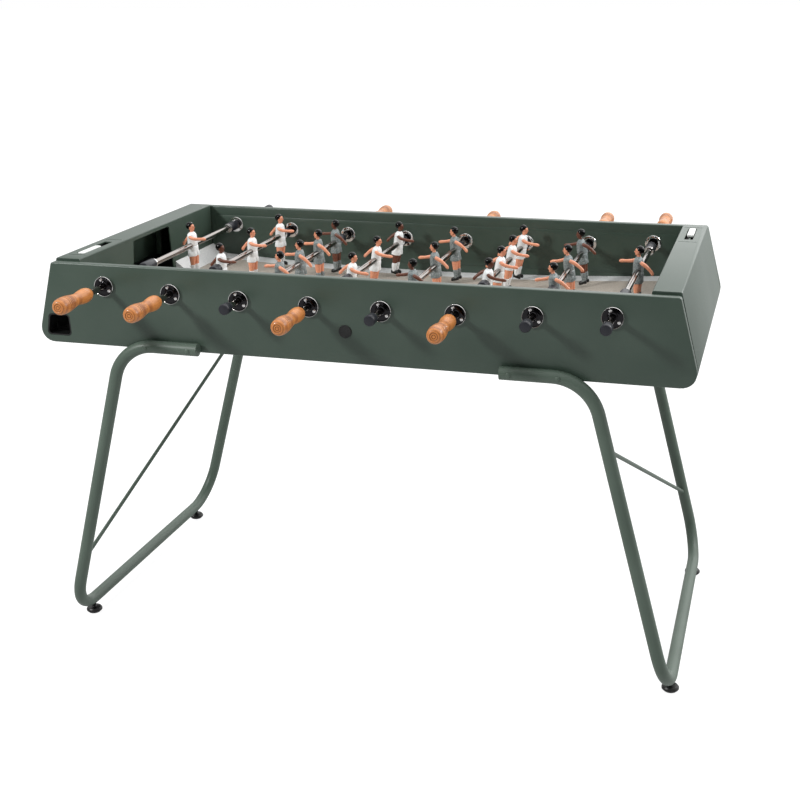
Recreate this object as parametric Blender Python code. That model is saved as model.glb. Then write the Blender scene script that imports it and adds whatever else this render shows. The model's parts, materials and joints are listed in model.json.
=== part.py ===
"""Foosball table in painted sheet steel, with eight turning and sliding player rods.

The table is the same after half a turn about the vertical through its middle, so
most pieces are modelled once, for the front or the left, and used again turned by
180 degrees.  Sizes are metres, +Z is up, +X runs along the table to the right and -Y
is the front, where the white team's players stand.  The frame's origin is on the floor
under the middle of the whole object, handles included.
"""

import math

import bmesh
import bpy
from mathutils import Matrix, Vector

GAP = 0.0003                    # kept between neighbouring pieces

# ---- table body
PANEL_OUT = 0.372               # outer face of a long panel, from the table's middle
PANEL_IN = 0.352                # inner face of a long panel
PANEL_TOP = 0.895
PANEL_BOTTOM = 0.7127
PANEL_HALF_TOP = 0.6815         # half length at the top edge
PANEL_HALF_BOTTOM = 0.7297      # half length at the bottom edge, before rounding
PANEL_TOP_CORNER = 0.006        # radius of a panel's upper corners
PANEL_LOW_CORNER = 0.032        # radius of its lower corners
CHANNEL_HALF = 0.672            # half length of the hollow inside a panel
SHEET = 0.003
CAP_TOP = 0.900                 # top of the end casings
CAP_INNER = 0.6235              # inner end wall of the field
CAP_OUTER = 0.6813              # outer top edge of an end casing
CAP_HALF = 0.346                # half width of an end casing, between the panels
END_SLOPE = 0.2564              # outward run of the end face for each metre down
CASING_BOTTOM = 0.7133
CASING_LIP = 0.660              # inner end of the casing's bottom lip
CASING_FOLD = 0.003             # outer radius of the folds at the top
CASING_LOW_CORNER = 0.030       # outer radius of the fold at the bottom
WALL_BOTTOM = 0.745             # lower edge of the inner end wall
SIDE_LIP_LOW = 0.865            # lower edge of the lips that close the casing's sides
TRAY_BOTTOM = 0.7175
TRAY_HALF_X = 0.657
TRAY_HALF_Y = 0.3505
TRAY_EDGE = 0.012               # height of the tray's folded edges
RIB_PLACES = (-0.45, -0.15, 0.15, 0.45)
RIB_HALF_Y = 0.340
PAST = 0.010                    # how far a cutter reaches past what it cuts
INTO = 0.001                    # how far a shape reaches into the one that it joins

# ---- ball outlet and chute, at the low left corner of the front panel
OUTLET_TOP = 0.779
OUTLET_LOW = 0.729
OUTLET_TOP_X = (-0.698, -0.647)
OUTLET_LOW_X = (-0.706, -0.644)
OUTLET_CORNER = 0.0095
SPOUT_GAP = 0.0005              # between the spout and the hole in the panel
SPOUT_WALL = 0.0025
CHUTE_X = (-0.700, -0.6275)
CHUTE_Y = (-0.343, 0.125)
CHUTE_Z = (0.7295, 0.800)
CHUTE_WALL = 0.0025
CHUTE_FLOOR = 0.003             # thickness of the floor at the low end
CHUTE_FALL = 0.0095             # drop of the floor from one end to the other
CHUTE_SILL_Z = 0.762            # the goal side is open above this height
CHUTE_SILL_HALF = 0.117

# ---- score counter, sunk in the top of an end casing
SLOT_X = (-0.6605, -0.6405)
SLOT_Y = (-0.295, -0.163)
SLOT_FLOOR = 0.887
SLOT_WALL = 0.003
SLIDER_X = (-0.6582, -0.6428)
SLIDER_Y = (-0.2925, -0.2125)
SLIDER_Z = (0.8875, 0.8995)

# ---- badge
BADGE_RADIUS = 0.014
BADGE_PROUD = 0.0022
BADGE_Z = 0.7827

# ---- playing field
FIELD_Z = 0.7465                # top of the field in its middle
FIELD_CURVE = 0.055             # rise of the field with the square of x
FIELD_THICK = 0.008
FIELD_HALF_X = 0.6230
FIELD_HALF_Y = 0.3515
SIDE_STRIP = 0.310              # where the field starts to rise towards a long wall
SIDE_RISE = 0.003
RAMP_START = 0.585              # where the ramp to an end wall starts
RAMP_TOP = 0.7935
MOUTH_TOP_Z = 0.889
MOUTH_HALF_TOP = 0.0945
MOUTH_LOW_Z = 0.790
MOUTH_HALF_LOW = 0.107
MOUTH_SILL_HALF = 0.119         # the ramps stop here, so the ball can roll into the goal
MOUTH_FLOOR_Z = 0.735           # the cut for the goal mouth reaches down to here
SILL_STEP = 0.0005              # run of the ramps' side faces beside the goals
FIELD_STRIPS = 14               # flat stretches that follow the field's curve

# ---- rods
ROD_PITCH = 0.158
ROD_Z = 0.8315
ROD_CURVE = 0.0542              # the rods follow the curve of the field
ROD_RADIUS = 0.007
BORE_FLAT = 0.00725             # from the axis to a flat of a many-sided bore
GRIP_END = 0.647                # row centre to the free end of the handle
GRIP_LENGTH = 0.128
CAP_END = 0.515                 # row centre to the free end of the rubber cap
CAP_LENGTH = 0.027
CAP_RADIUS = 0.012
CAP_CHAMFER = 0.004
SOCKET_DEPTH = 0.040            # how far the rod goes into the handle
FLANGE_RADIUS = 0.0225
FLANGE_FACE = 0.3785            # outer face of a bearing
SLEEVE_RADIUS = 0.0122
SLEEVE_HOLE = 0.01315
INNER_FLANGE_RADIUS = 0.020
INNER_FLANGE_FACE = 0.348
BUMPER_RADIUS = 0.0125
BUMPER_LENGTH = 0.030           # rubber bumpers on the rod stop it at the bearings
KEEPER_BUMPER_LENGTH = 0.050
BUMPER_SPACE = 0.0195           # from the middle of the outermost man to his bumper
BAR_HALF = 0.600                # the flat bar that backs the bearings inside the panel
BAR_Y = (-0.3645, -0.3605)
BAR_Z = (0.822, 0.866)
KEEPER_TRAVEL = 0.079           # goalkeepers stop here, within the goal mouth
STOP_GAP = 0.001                # left between a bumper and the bearing it meets
COLLAR_RADIUS = 0.0105          # steel collar at the inner end of a keeper's bumper
COLLAR_LENGTH = 0.006
PITCH_THREE = 0.187             # between the men of a three-man row
PITCH_FOUR = 0.1285             # between the men of a four-man row

# each row: team, number of men, where the row stands across the table, and the angle in
# degrees by which its men lean forward at rest
ROWS = (
    ("white", 1, 0.079, -3.0),
    ("white", 3, 0.084, 0.0),
    ("grey", 4, 0.062, 2.0),
    ("white", 3, 0.095, 7.0),
    ("grey", 3, 0.060, 5.0),
    ("white", 4, 0.103, 8.0),
    ("grey", 3, 0.061, 7.5),
    ("grey", 1, 0.045, 0.0),
)
ROW_PITCH = {1: 0.0, 3: PITCH_THREE, 4: PITCH_FOUR}

# outline of a handle: radius, and distance from its free end as a share of its length
GRIP_SHAPE = ((0.0110, 0.0), (0.0152, 0.03), (0.0178, 0.15), (0.0166, 0.36),
              (0.0128, 0.56), (0.0156, 0.80), (0.0148, 0.93), (0.0105, 1.0))

# ---- legs
TUBE_RADIUS = 0.014
LEG_Y = PANEL_OUT + TUBE_RADIUS + GAP
LEG_TOP_Z = 0.7227
LEG_FLOOR_Z = 0.035
LEG_START_X = 0.332             # closed end of the tube under the panel
LEG_CORNER_X = 0.5152           # where stub and upright would meet without the bend
LEG_FLOOR_X = 0.7004
LEG_BEND = 0.100
BRACE_RADIUS = 0.0045
BRACE_LOW_Z = 0.187
BRACE_HIGH_Z = 0.577
BRACE_SETBACK = 0.0200          # from the middle of the upright to the brace's end
FOOT_Y = 0.2961
FOOT_RADIUS = 0.019

# outline of a levelling foot: radius and height, from its sole up to the end of its stem
FOOT_SHAPE = ((0.0150, 0.0), (0.0165, 0.0030), (FOOT_RADIUS, 0.0045), (FOOT_RADIUS, 0.0085),
              (0.0165, 0.0120), (0.0055, 0.0130), (0.0055, 0.0205))

# The handles stand out further at the back than at the front, and the origin is in
# the middle of everything.
FRONT_REACH = min(row[2] - GRIP_END for row in ROWS if row[0] == "white")
REAR_REACH = max(row[2] + GRIP_END for row in ROWS if row[0] == "grey")
CENTRE_Y = -(FRONT_REACH + REAR_REACH) / 2


def clear_scene():
    for obj in list(bpy.data.objects):
        bpy.data.objects.remove(obj, do_unlink=True)


def material(name, colour, roughness, metallic=0.0):
    mat = bpy.data.materials.new(name)
    mat.use_nodes = True
    shader = mat.node_tree.nodes["Principled BSDF"]
    shader.inputs["Base Color"].default_value = (*colour, 1.0)
    shader.inputs["Roughness"].default_value = roughness
    shader.inputs["Metallic"].default_value = metallic
    return mat


def empty(name, location, turned_round=False, parent=None):
    """An empty that places what is parented to it, turned by 180 degrees if asked."""
    obj = bpy.data.objects.new(name, None)
    bpy.context.scene.collection.objects.link(obj)
    obj.location = location
    obj.rotation_euler = (0.0, 0.0, math.pi if turned_round else 0.0)
    obj.parent = parent
    return obj


def place(name, mesh, mat, parent, location=(0.0, 0.0, 0.0)):
    """One visible piece; pieces that repeat share their mesh."""
    if not mesh.materials:
        mesh.materials.append(mat)
    obj = bpy.data.objects.new(name, mesh)
    bpy.context.scene.collection.objects.link(obj)
    obj.location = location
    obj.parent = parent
    return obj


def to_mesh(bm, name):
    bmesh.ops.recalc_face_normals(bm, faces=bm.faces)
    mesh = bpy.data.meshes.new(name)
    bm.to_mesh(mesh)
    bm.free()
    return mesh


def loft(rings, name="loft", cyclic=False):
    """Bridge rings of equal point counts; the ends are capped unless it closes on itself."""
    bm = bmesh.new()
    made = [[bm.verts.new(point) for point in ring] for ring in rings]
    pairs = list(zip(made, made[1:] + made[:1])) if cyclic else list(zip(made, made[1:]))
    for low, high in pairs:
        for k in range(len(low)):
            after = (k + 1) % len(low)
            bm.faces.new((low[k], low[after], high[after], high[k]))
    if not cyclic:
        bm.faces.new(made[0])
        bm.faces.new(made[-1])
    return to_mesh(bm, name)


def prism(outline, axis, low, high, name="prism"):
    """A flat outline extruded along X or Y; its points are the other two coordinates."""
    def point(pair, along):
        return (along, *pair) if axis == "X" else (pair[0], along, pair[1])
    return loft([[point(pair, along) for pair in outline] for along in (low, high)], name)


def block(low, high, name="block"):
    """A box between two corners."""
    outline = [(low[0], low[2]), (high[0], low[2]), (high[0], high[2]), (low[0], high[2])]
    return prism(outline, "Y", low[1], high[1], name)


def turned(profile, sides, name="turned", ring=False):
    """Turn a profile of (radius, y) about the Y axis; a ring profile closes on itself."""
    rings = []
    for radius, y in profile:
        rings.append([(radius * math.cos(math.tau * k / sides), y,
                       radius * math.sin(math.tau * k / sides)) for k in range(sides)])
    return loft(rings, name, cyclic=ring)


def rounded(corners, radii, steps):
    """An outline whose corners are arcs, worked out from sharp corners and their radii."""
    points = []
    count = len(corners)
    for k, (corner, radius) in enumerate(zip(corners, radii)):
        here = Vector(corner)
        if radius <= 0.0:
            points.append(tuple(here))
            continue
        back = (Vector(corners[k - 1]) - here).normalized()
        onward = (Vector(corners[(k + 1) % count]) - here).normalized()
        half = back.angle(onward) / 2
        start = here + back * radius / math.tan(half)
        centre = here + (back + onward).normalized() * radius / math.sin(half)
        sweep = math.pi - 2 * half
        arm = start - centre
        side = (onward - back).normalized()
        across = (side - arm.normalized() * side.dot(arm.normalized())).normalized()
        for step in range(steps + 1):
            angle = sweep * step / steps
            points.append(tuple(centre + arm * math.cos(angle)
                                + across * radius * math.sin(angle)))
    return points


def swept(path, radius, sides, name):
    """A round bar along a path, its ends closed flat."""
    points = [Vector(p) for p in path]
    tangents = []
    for k in range(len(points)):
        before = points[max(k - 1, 0)]
        after = points[min(k + 1, len(points) - 1)]
        tangents.append((after - before).normalized())
    across = tangents[0].orthogonal().normalized()
    rings = []
    for point, tangent in zip(points, tangents):
        across = (across - tangent * across.dot(tangent)).normalized()
        up = tangent.cross(across)
        rings.append([point + across * radius * math.cos(math.tau * (k + 0.5) / sides)
                      + up * radius * math.sin(math.tau * (k + 0.5) / sides)
                      for k in range(sides)])
    return loft(rings, name)


def combine(base, tools, operation):
    """Join or cut meshes with exact Booleans and return the resulting mesh."""
    helpers = []
    target = bpy.data.objects.new("target", base)
    bpy.context.scene.collection.objects.link(target)
    for tool in tools:
        helper = bpy.data.objects.new("helper", tool)
        bpy.context.scene.collection.objects.link(helper)
        helper.hide_render = True
        modifier = target.modifiers.new(operation, "BOOLEAN")
        modifier.operation = operation
        modifier.solver = "EXACT"
        modifier.object = helper
        helpers.append(helper)
    graph = bpy.context.evaluated_depsgraph_get()
    result = bpy.data.meshes.new_from_object(target.evaluated_get(graph))
    for obj in (target, *helpers):
        bpy.data.objects.remove(obj, do_unlink=True)
    return result


def join(base, *tools):
    return combine(base, tools, "UNION")


def cut(base, *tools):
    return combine(base, tools, "DIFFERENCE")


def row_x(row):
    """Place of a row along the table, counted from 0."""
    return ROD_PITCH * (row - (len(ROWS) - 1) / 2)


def rod_z(x):
    return ROD_Z + ROD_CURVE * x * x


def bore_radius(sides):
    """Corner radius of a bore whose flats still clear the round rod."""
    return BORE_FLAT / math.cos(math.pi / sides)


def end_face_x(z, inset=0.0):
    """Outer face of an end casing at a height, or the face of its sheet further in."""
    slant = math.hypot(1.0, END_SLOPE)
    return CAP_OUTER + (CAP_TOP - z) * END_SLOPE - inset * slant


# ---------------------------------------------------------------- table body

def outlet_outline(inset):
    """The ball outlet low in a long panel, a trapezoid with round corners."""
    top, low = OUTLET_TOP - inset, OUTLET_LOW + inset
    corners = [(OUTLET_TOP_X[0] + inset, top), (OUTLET_TOP_X[1] - inset, top),
               (OUTLET_LOW_X[1] - inset, low), (OUTLET_LOW_X[0] + inset, low)]
    return rounded(corners, [OUTLET_CORNER - inset] * 4, 2)


def panel_mesh():
    """Long side panel: a folded sheet, hollow and open below, with its bearing holes."""
    corners = [(-PANEL_HALF_TOP, PANEL_TOP), (PANEL_HALF_TOP, PANEL_TOP),
               (PANEL_HALF_BOTTOM, PANEL_BOTTOM), (-PANEL_HALF_BOTTOM, PANEL_BOTTOM)]
    radii = [PANEL_TOP_CORNER, PANEL_TOP_CORNER, PANEL_LOW_CORNER, PANEL_LOW_CORNER]
    sheet = prism(rounded(corners, radii, 4), "Y", -PANEL_OUT, -PANEL_IN)
    channel = block((-CHANNEL_HALF, -PANEL_OUT + SHEET, PANEL_BOTTOM - PAST),
                    (CHANNEL_HALF, -PANEL_IN - SHEET, PANEL_TOP - SHEET))
    sheet = cut(sheet, channel)
    holes = []
    for row in range(len(ROWS)):
        x = row_x(row)
        hole = turned([(SLEEVE_HOLE, -PANEL_OUT - PAST), (SLEEVE_HOLE, -PANEL_IN + PAST)], 10)
        hole.transform(Matrix.Translation((x, 0.0, rod_z(x))))
        holes.append(hole)
    outlet = prism(outlet_outline(0.0), "Y", -PANEL_OUT - PAST, -PANEL_IN + PAST)
    return cut(sheet, outlet, *holes)


def casing_mesh():
    """Left end casing: top, slanted end face and inner wall with the goal mouth."""
    low, high = CASING_BOTTOM + SHEET, CAP_TOP - SHEET
    outer = [(CAP_INNER, WALL_BOTTOM), (CAP_INNER, CAP_TOP), (CAP_OUTER, CAP_TOP),
             (end_face_x(CASING_BOTTOM), CASING_BOTTOM), (CASING_LIP, CASING_BOTTOM)]
    inner = [(CASING_LIP, low), (end_face_x(low, SHEET), low), (end_face_x(high, SHEET), high),
             (CAP_INNER + SHEET, high), (CAP_INNER + SHEET, WALL_BOTTOM)]
    radii = [0, CASING_FOLD, CASING_FOLD, CASING_LOW_CORNER, 0,
             0, CASING_LOW_CORNER - SHEET, 0, 0, 0]
    outline = [(-x, z) for x, z in rounded(outer + inner, radii, 3)]
    casing = prism(outline, "Y", -CAP_HALF, CAP_HALF)

    # side lips, folded down from the top
    top = CAP_TOP - INTO
    lip = [(CAP_INNER + INTO, SIDE_LIP_LOW), (end_face_x(SIDE_LIP_LOW, INTO), SIDE_LIP_LOW),
           (end_face_x(top, INTO), top), (CAP_INNER + INTO, top)]
    lip = [(-x, z) for x, z in lip]
    near_lip = prism(lip, "Y", -CAP_HALF, -CAP_HALF + SHEET)
    far_lip = prism(lip, "Y", CAP_HALF - SHEET, CAP_HALF)

    # pocket of the score counter, sunk in the top
    pocket = block((SLOT_X[0] - SLOT_WALL, SLOT_Y[0] - SLOT_WALL, SLOT_FLOOR - SLOT_WALL),
                   (SLOT_X[1] + SLOT_WALL, SLOT_Y[1] + SLOT_WALL, CAP_TOP - INTO))
    slot = block((SLOT_X[0], SLOT_Y[0], SLOT_FLOOR), (SLOT_X[1], SLOT_Y[1], CAP_TOP + PAST))

    spread = (MOUTH_HALF_LOW - MOUTH_HALF_TOP) / (MOUTH_TOP_Z - MOUTH_LOW_Z)
    floor_half = MOUTH_HALF_TOP + spread * (MOUTH_TOP_Z - MOUTH_FLOOR_Z)
    mouth = prism([(-MOUTH_HALF_TOP, MOUTH_TOP_Z), (MOUTH_HALF_TOP, MOUTH_TOP_Z),
                   (floor_half, MOUTH_FLOOR_Z), (-floor_half, MOUTH_FLOOR_Z)],
                  "X", -CAP_INNER - PAST, -CAP_INNER + PAST)
    return cut(join(casing, near_lip, far_lip, pocket), slot, mouth)


def chute_mesh():
    """Ball chute behind the left goal: a sloping trough with a spout in the front panel."""
    trough = block(*zip(CHUTE_X, CHUTE_Y, CHUTE_Z))
    near, far = CHUTE_Y[0] + CHUTE_WALL, CHUTE_Y[1] - CHUTE_WALL
    floor, above = CHUTE_Z[0] + CHUTE_FLOOR, CHUTE_Z[1] + 2 * PAST
    inside = prism([(near, floor), (far, floor + CHUTE_FALL), (far, above), (near, above)],
                   "X", CHUTE_X[0] + CHUTE_WALL, CHUTE_X[1] - CHUTE_WALL)
    sill = block((CHUTE_X[1] - PAST, -CHUTE_SILL_HALF, CHUTE_SILL_Z),
                 (CHUTE_X[1] + PAST, CHUTE_SILL_HALF, above))
    spout = prism(outlet_outline(SPOUT_GAP), "Y", -PANEL_OUT + SPOUT_GAP, near - INTO)
    throat = prism(outlet_outline(SPOUT_GAP + SPOUT_WALL), "Y", -PANEL_OUT - PAST,
                   near + CHUTE_WALL)
    return cut(join(trough, spout), inside, sill, throat)


def field_z(x, y):
    """Top of the playing field: dished along the table, raised at the long walls."""
    z = FIELD_Z + FIELD_CURVE * x * x
    if abs(y) > SIDE_STRIP:
        z += SIDE_RISE * (abs(y) - SIDE_STRIP) / (FIELD_HALF_Y - SIDE_STRIP)
    if abs(x) > RAMP_START and abs(y) >= MOUTH_SILL_HALF:
        foot = FIELD_Z + FIELD_CURVE * RAMP_START ** 2
        share = (abs(x) - RAMP_START) / (FIELD_HALF_X - RAMP_START)
        z = max(z, foot + (RAMP_TOP - foot) * share)
    return z


def field_mesh():
    """Playing field, with a ramp in front of each end wall beside the goals."""
    xs = [RAMP_START * (2 * k / FIELD_STRIPS - 1) for k in range(FIELD_STRIPS + 1)]
    xs = [-FIELD_HALF_X, *xs, FIELD_HALF_X]
    half = [MOUTH_SILL_HALF - SILL_STEP, MOUTH_SILL_HALF, SIDE_STRIP, FIELD_HALF_Y]
    ys = [-y for y in reversed(half)] + half
    bm = bmesh.new()
    tops = [[bm.verts.new((x, y, field_z(x, y))) for y in ys] for x in xs]
    unders = [[bm.verts.new((x, y, FIELD_Z + FIELD_CURVE * x * x - FIELD_THICK)) for y in ys]
              for x in xs]
    for i in range(len(xs) - 1):
        for j in range(len(ys) - 1):
            for grid in (tops, unders):
                bm.faces.new((grid[i][j], grid[i + 1][j], grid[i + 1][j + 1], grid[i][j + 1]))
    for i in range(len(xs) - 1):
        for j in (0, len(ys) - 1):
            bm.faces.new((tops[i][j], tops[i + 1][j], unders[i + 1][j], unders[i][j]))
    for j in range(len(ys) - 1):
        for i in (0, len(xs) - 1):
            bm.faces.new((tops[i][j], tops[i][j + 1], unders[i][j + 1], unders[i][j]))
    return to_mesh(bm, "playfield")


def tray_mesh():
    """Underside sheet with folded edges and the four ribs that carry the field."""
    top = TRAY_BOTTOM + SHEET
    base = block((-TRAY_HALF_X, -TRAY_HALF_Y, TRAY_BOTTOM), (TRAY_HALF_X, TRAY_HALF_Y, top))
    edge_top = TRAY_BOTTOM + TRAY_EDGE
    near_edge = block((-TRAY_HALF_X, -TRAY_HALF_Y, TRAY_BOTTOM),
                      (TRAY_HALF_X, -TRAY_HALF_Y + SHEET, edge_top))
    far_edge = block((-TRAY_HALF_X, TRAY_HALF_Y - SHEET, TRAY_BOTTOM),
                     (TRAY_HALF_X, TRAY_HALF_Y, edge_top))
    ribs = []
    for x in RIB_PLACES:
        lowest = FIELD_Z + FIELD_CURVE * (abs(x) - SHEET / 2) ** 2
        ribs.append(block((x - SHEET / 2, -RIB_HALF_Y, TRAY_BOTTOM + INTO),
                          (x + SHEET / 2, RIB_HALF_Y, lowest - FIELD_THICK - GAP)))
    return join(base, near_edge, far_edge, *ribs)


def slider_mesh():
    """Sliding marker of a score counter."""
    return block(*zip(SLIDER_X, SLIDER_Y, SLIDER_Z), name="score_slider")


def bearings_mesh():
    """The eight bushes of the front panel on the flat bar that backs them inside it."""
    sides = 8
    bore = bore_radius(sides)
    profile = [(bore, -FLANGE_FACE), (FLANGE_RADIUS, -FLANGE_FACE),
               (FLANGE_RADIUS, -PANEL_OUT - GAP), (SLEEVE_RADIUS, -PANEL_OUT - GAP),
               (SLEEVE_RADIUS, -PANEL_IN + GAP), (INNER_FLANGE_RADIUS, -PANEL_IN + GAP),
               (INNER_FLANGE_RADIUS, -INNER_FLANGE_FACE), (bore, -INNER_FLANGE_FACE)]
    bar = block((-BAR_HALF, BAR_Y[0], BAR_Z[0]), (BAR_HALF, BAR_Y[1], BAR_Z[1]))
    within_wall = (bore + SLEEVE_RADIUS) / 2
    bushes, bores = [], []
    for row in range(len(ROWS)):
        x = row_x(row)
        bush = turned(profile, sides, ring=True)
        drill = turned([(within_wall, BAR_Y[0] - INTO), (within_wall, BAR_Y[1] + INTO)], sides)
        for piece in (bush, drill):
            piece.transform(Matrix.Translation((x, 0.0, rod_z(x))))
        bushes.append(bush)
        bores.append(drill)
    return join(cut(bar, *bores), *bushes)


def badge_mesh():
    badge = turned([(BADGE_RADIUS, -PANEL_OUT - BADGE_PROUD), (BADGE_RADIUS, -PANEL_OUT - GAP)],
                   16, "badge")
    badge.transform(Matrix.Translation((0.0, 0.0, BADGE_Z)))
    return badge


# ---------------------------------------------------------------- legs

def leg_mesh():
    """Left leg frame: one bent tube from the front panel to the rear panel."""
    sharp = [(-LEG_START_X, -LEG_Y, LEG_TOP_Z), (-LEG_CORNER_X, -LEG_Y, LEG_TOP_Z),
             (-LEG_FLOOR_X, -LEG_Y, LEG_FLOOR_Z), (-LEG_FLOOR_X, LEG_Y, LEG_FLOOR_Z),
             (-LEG_CORNER_X, LEG_Y, LEG_TOP_Z), (-LEG_START_X, LEG_Y, LEG_TOP_Z)]
    path = rounded(sharp, [0, LEG_BEND, LEG_BEND, LEG_BEND, LEG_BEND, 0], 6)
    return swept(path, TUBE_RADIUS, 8, "leg")


def upright_x(z):
    share = (LEG_TOP_Z - z) / (LEG_TOP_Z - LEG_FLOOR_Z)
    return LEG_CORNER_X + (LEG_FLOOR_X - LEG_CORNER_X) * share


def brace_mesh():
    """Diagonal rod of the left leg frame, low on the front upright and high on the rear."""
    low = Vector((-upright_x(BRACE_LOW_Z), -LEG_Y, BRACE_LOW_Z))
    high = Vector((-upright_x(BRACE_HIGH_Z), LEG_Y, BRACE_HIGH_Z))
    along = (high - low).normalized() * BRACE_SETBACK
    return swept([low + along, high - along], BRACE_RADIUS, 8, "brace")


def foot_mesh():
    """Levelling foot: a disc on a threaded stem, both about the foot's own vertical axis."""
    foot = turned(FOOT_SHAPE, 12, "foot")
    foot.transform(Matrix.Rotation(math.pi / 2, 4, "X"))
    return foot


# ---------------------------------------------------------------- rods and men

def bumper_ends(men):
    """Inner and outer end of a row's bumpers, from the row's centre."""
    if men == 1:
        outer = INNER_FLANGE_FACE - STOP_GAP - KEEPER_TRAVEL
        return outer - KEEPER_BUMPER_LENGTH, outer
    inner = ROW_PITCH[men] * (men - 1) / 2 + BUMPER_SPACE
    return inner, inner + BUMPER_LENGTH


def rod_mesh(men):
    """Steel rod with its two rubber bumpers and its rubber cap."""
    inner, outer = bumper_ends(men)
    far_side = [(ROD_RADIUS, inner)]
    if men == 1:
        far_side = [(ROD_RADIUS, inner - COLLAR_LENGTH), (COLLAR_RADIUS, inner - COLLAR_LENGTH),
                    (COLLAR_RADIUS, inner)]
    far_side += [(BUMPER_RADIUS, inner), (BUMPER_RADIUS, outer), (ROD_RADIUS, outer)]
    near_side = [(radius, -y) for radius, y in reversed(far_side)]
    cap_start = CAP_END - CAP_LENGTH
    profile = [(ROD_RADIUS, -GRIP_END + GRIP_LENGTH - SOCKET_DEPTH), *near_side, *far_side,
               (ROD_RADIUS, cap_start), (CAP_RADIUS - INTO, cap_start),
               (CAP_RADIUS, CAP_END - CAP_CHAMFER), (CAP_RADIUS - CAP_CHAMFER, CAP_END)]
    return turned(profile, 12, "rod")


def grip_mesh():
    """Turned wooden handle, bored to take the end of the rod."""
    inner_end = -GRIP_END + GRIP_LENGTH
    sides = 10
    bore = bore_radius(sides)
    profile = [(radius, -GRIP_END + GRIP_LENGTH * share) for radius, share in GRIP_SHAPE]
    profile += [(bore, inner_end), (bore, inner_end - SOCKET_DEPTH - INTO)]
    return turned(profile, sides, "handle")


def oval(z, half_x, half_y, x=0.0, y=0.0, sides=6):
    return [(x + half_x * math.cos(math.tau * (k + 0.5) / sides),
             y + half_y * math.sin(math.tau * (k + 0.5) / sides), z) for k in range(sides)]


def man_mesh():
    """A player facing +X, its rod's axis along Y through the waist at the origin.

    The rings of the body and the limbs give a height, half depths and half widths; the
    arms are bars through three points each.
    """
    body = loft([oval(-0.0270, 0.0135, 0.0165), oval(0.0270, 0.0135, 0.0185),
                 oval(0.0330, 0.0050, 0.0060), oval(0.0440, 0.0115, 0.0095),
                 oval(0.0560, 0.0060, 0.0050)])
    limbs = []
    for side, ahead in ((1, 0.0020), (-1, -0.0020)):
        y = side * 0.0076
        rings = ((-0.0250, ahead * 0.5, 0.0085, 0.0062), (-0.0680, ahead, 0.0055, 0.0055),
                 (-0.0700, ahead + 0.0030, 0.0095, 0.0060),
                 (-0.0765, ahead + 0.0035, 0.0105, 0.0060))
        limbs.append(loft([oval(z, hx * math.sqrt(2), hy * math.sqrt(2), x, y, 4)
                           for z, x, hx, hy in rings]))
    arms = (((0.0, -0.0140, 0.0260), (0.0015, -0.0195, 0.0190), (0.0430, -0.0180, 0.0175)),
            ((0.0, 0.0140, 0.0260), (-0.0200, 0.0200, 0.0170), (-0.0340, 0.0190, 0.0)))
    for arm in arms:
        limbs.append(swept(arm, 0.0036, 4, "arm"))
    bore = bore_radius(8)
    drill = turned([(bore, -0.030), (bore, 0.030)], 8)
    return cut(join(body, *limbs), drill)


# ---------------------------------------------------------------- assembly

def build_body(table, paint, plastic, steel, board, white):
    """Panels, casings, field and legs, each twice where the table is the same turned."""
    half_turns = ((("front", "left"), False), (("rear", "right"), True))
    shapes = {
        "panel": panel_mesh(), "bearings": bearings_mesh(), "casing": casing_mesh(),
        "chute": chute_mesh(), "leg": leg_mesh(), "brace": brace_mesh(),
        "slider": slider_mesh(), "foot": foot_mesh(),
    }
    for (side, end), back in half_turns:
        half = empty(f"{side}_half", (0.0, 0.0, 0.0), back, table)
        place(f"{side}_panel", shapes["panel"], paint, half)
        place(f"{side}_bearings", shapes["bearings"], steel, half)
        place(f"{end}_end_casing", shapes["casing"], paint, half)
        place(f"{end}_ball_chute", shapes["chute"], plastic, half)
        place(f"{end}_leg_frame", shapes["leg"], paint, half)
        place(f"{end}_brace", shapes["brace"], paint, half)
        place(f"{end}_score_slider", shapes["slider"], white, half)
        for y in (-FOOT_Y, FOOT_Y):
            corner = side if y < 0 else {"front": "rear", "rear": "front"}[side]
            place(f"foot_{corner}_{end}", shapes["foot"], plastic, half, (-LEG_FLOOR_X, y, 0.0))
    place("playfield", field_mesh(), board, table)
    place("underside_tray", tray_mesh(), paint, table)
    place("badge", badge_mesh(), plastic, table)


def build_rows(table, steel, wood, kits):
    """Each row hangs on an empty on its rod's axis, turned round for the grey team."""
    rods = {men: rod_mesh(men) for men in ROW_PITCH}
    grip = grip_mesh()
    man = {team: man_mesh() for team in kits}
    for number, (team, men, centre, lean) in enumerate(ROWS, start=1):
        x = row_x(number - 1)
        leaning = man[team].copy()
        leaning.transform(Matrix.Rotation(math.radians(lean), 4, "Y"))
        axis = empty(f"row_{number}_axis", (x, centre, rod_z(x)), team == "grey", table)
        place(f"rod_{number}", rods[men], steel, axis)
        place(f"handle_{number}", grip, wood, axis)
        pitch = ROW_PITCH[men]
        for k in range(men):
            across = (k - (men - 1) / 2) * pitch
            place(f"{team}_player_{number}_{k + 1}", leaning, kits[team], axis,
                  (0.0, across, 0.0))


def main():
    clear_scene()
    paint = material("green_paint", (0.056, 0.081, 0.062), 0.45)
    plastic = material("black_plastic", (0.012, 0.012, 0.013), 0.5)
    steel = material("polished_steel", (0.55, 0.54, 0.53), 0.2, 1.0)
    board = material("field_board", (0.32, 0.30, 0.28), 0.55)
    wood = material("turned_wood", (0.40, 0.17, 0.07), 0.5)
    white = material("white_plastic", (0.80, 0.80, 0.80), 0.4)
    grey = material("grey_plastic", (0.19, 0.20, 0.20), 0.4)
    table = empty("table", (0.0, CENTRE_Y, 0.0))
    build_body(table, paint, plastic, steel, board, white)
    build_rows(table, steel, wood, {"white": white, "grey": grey})


main()
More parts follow.
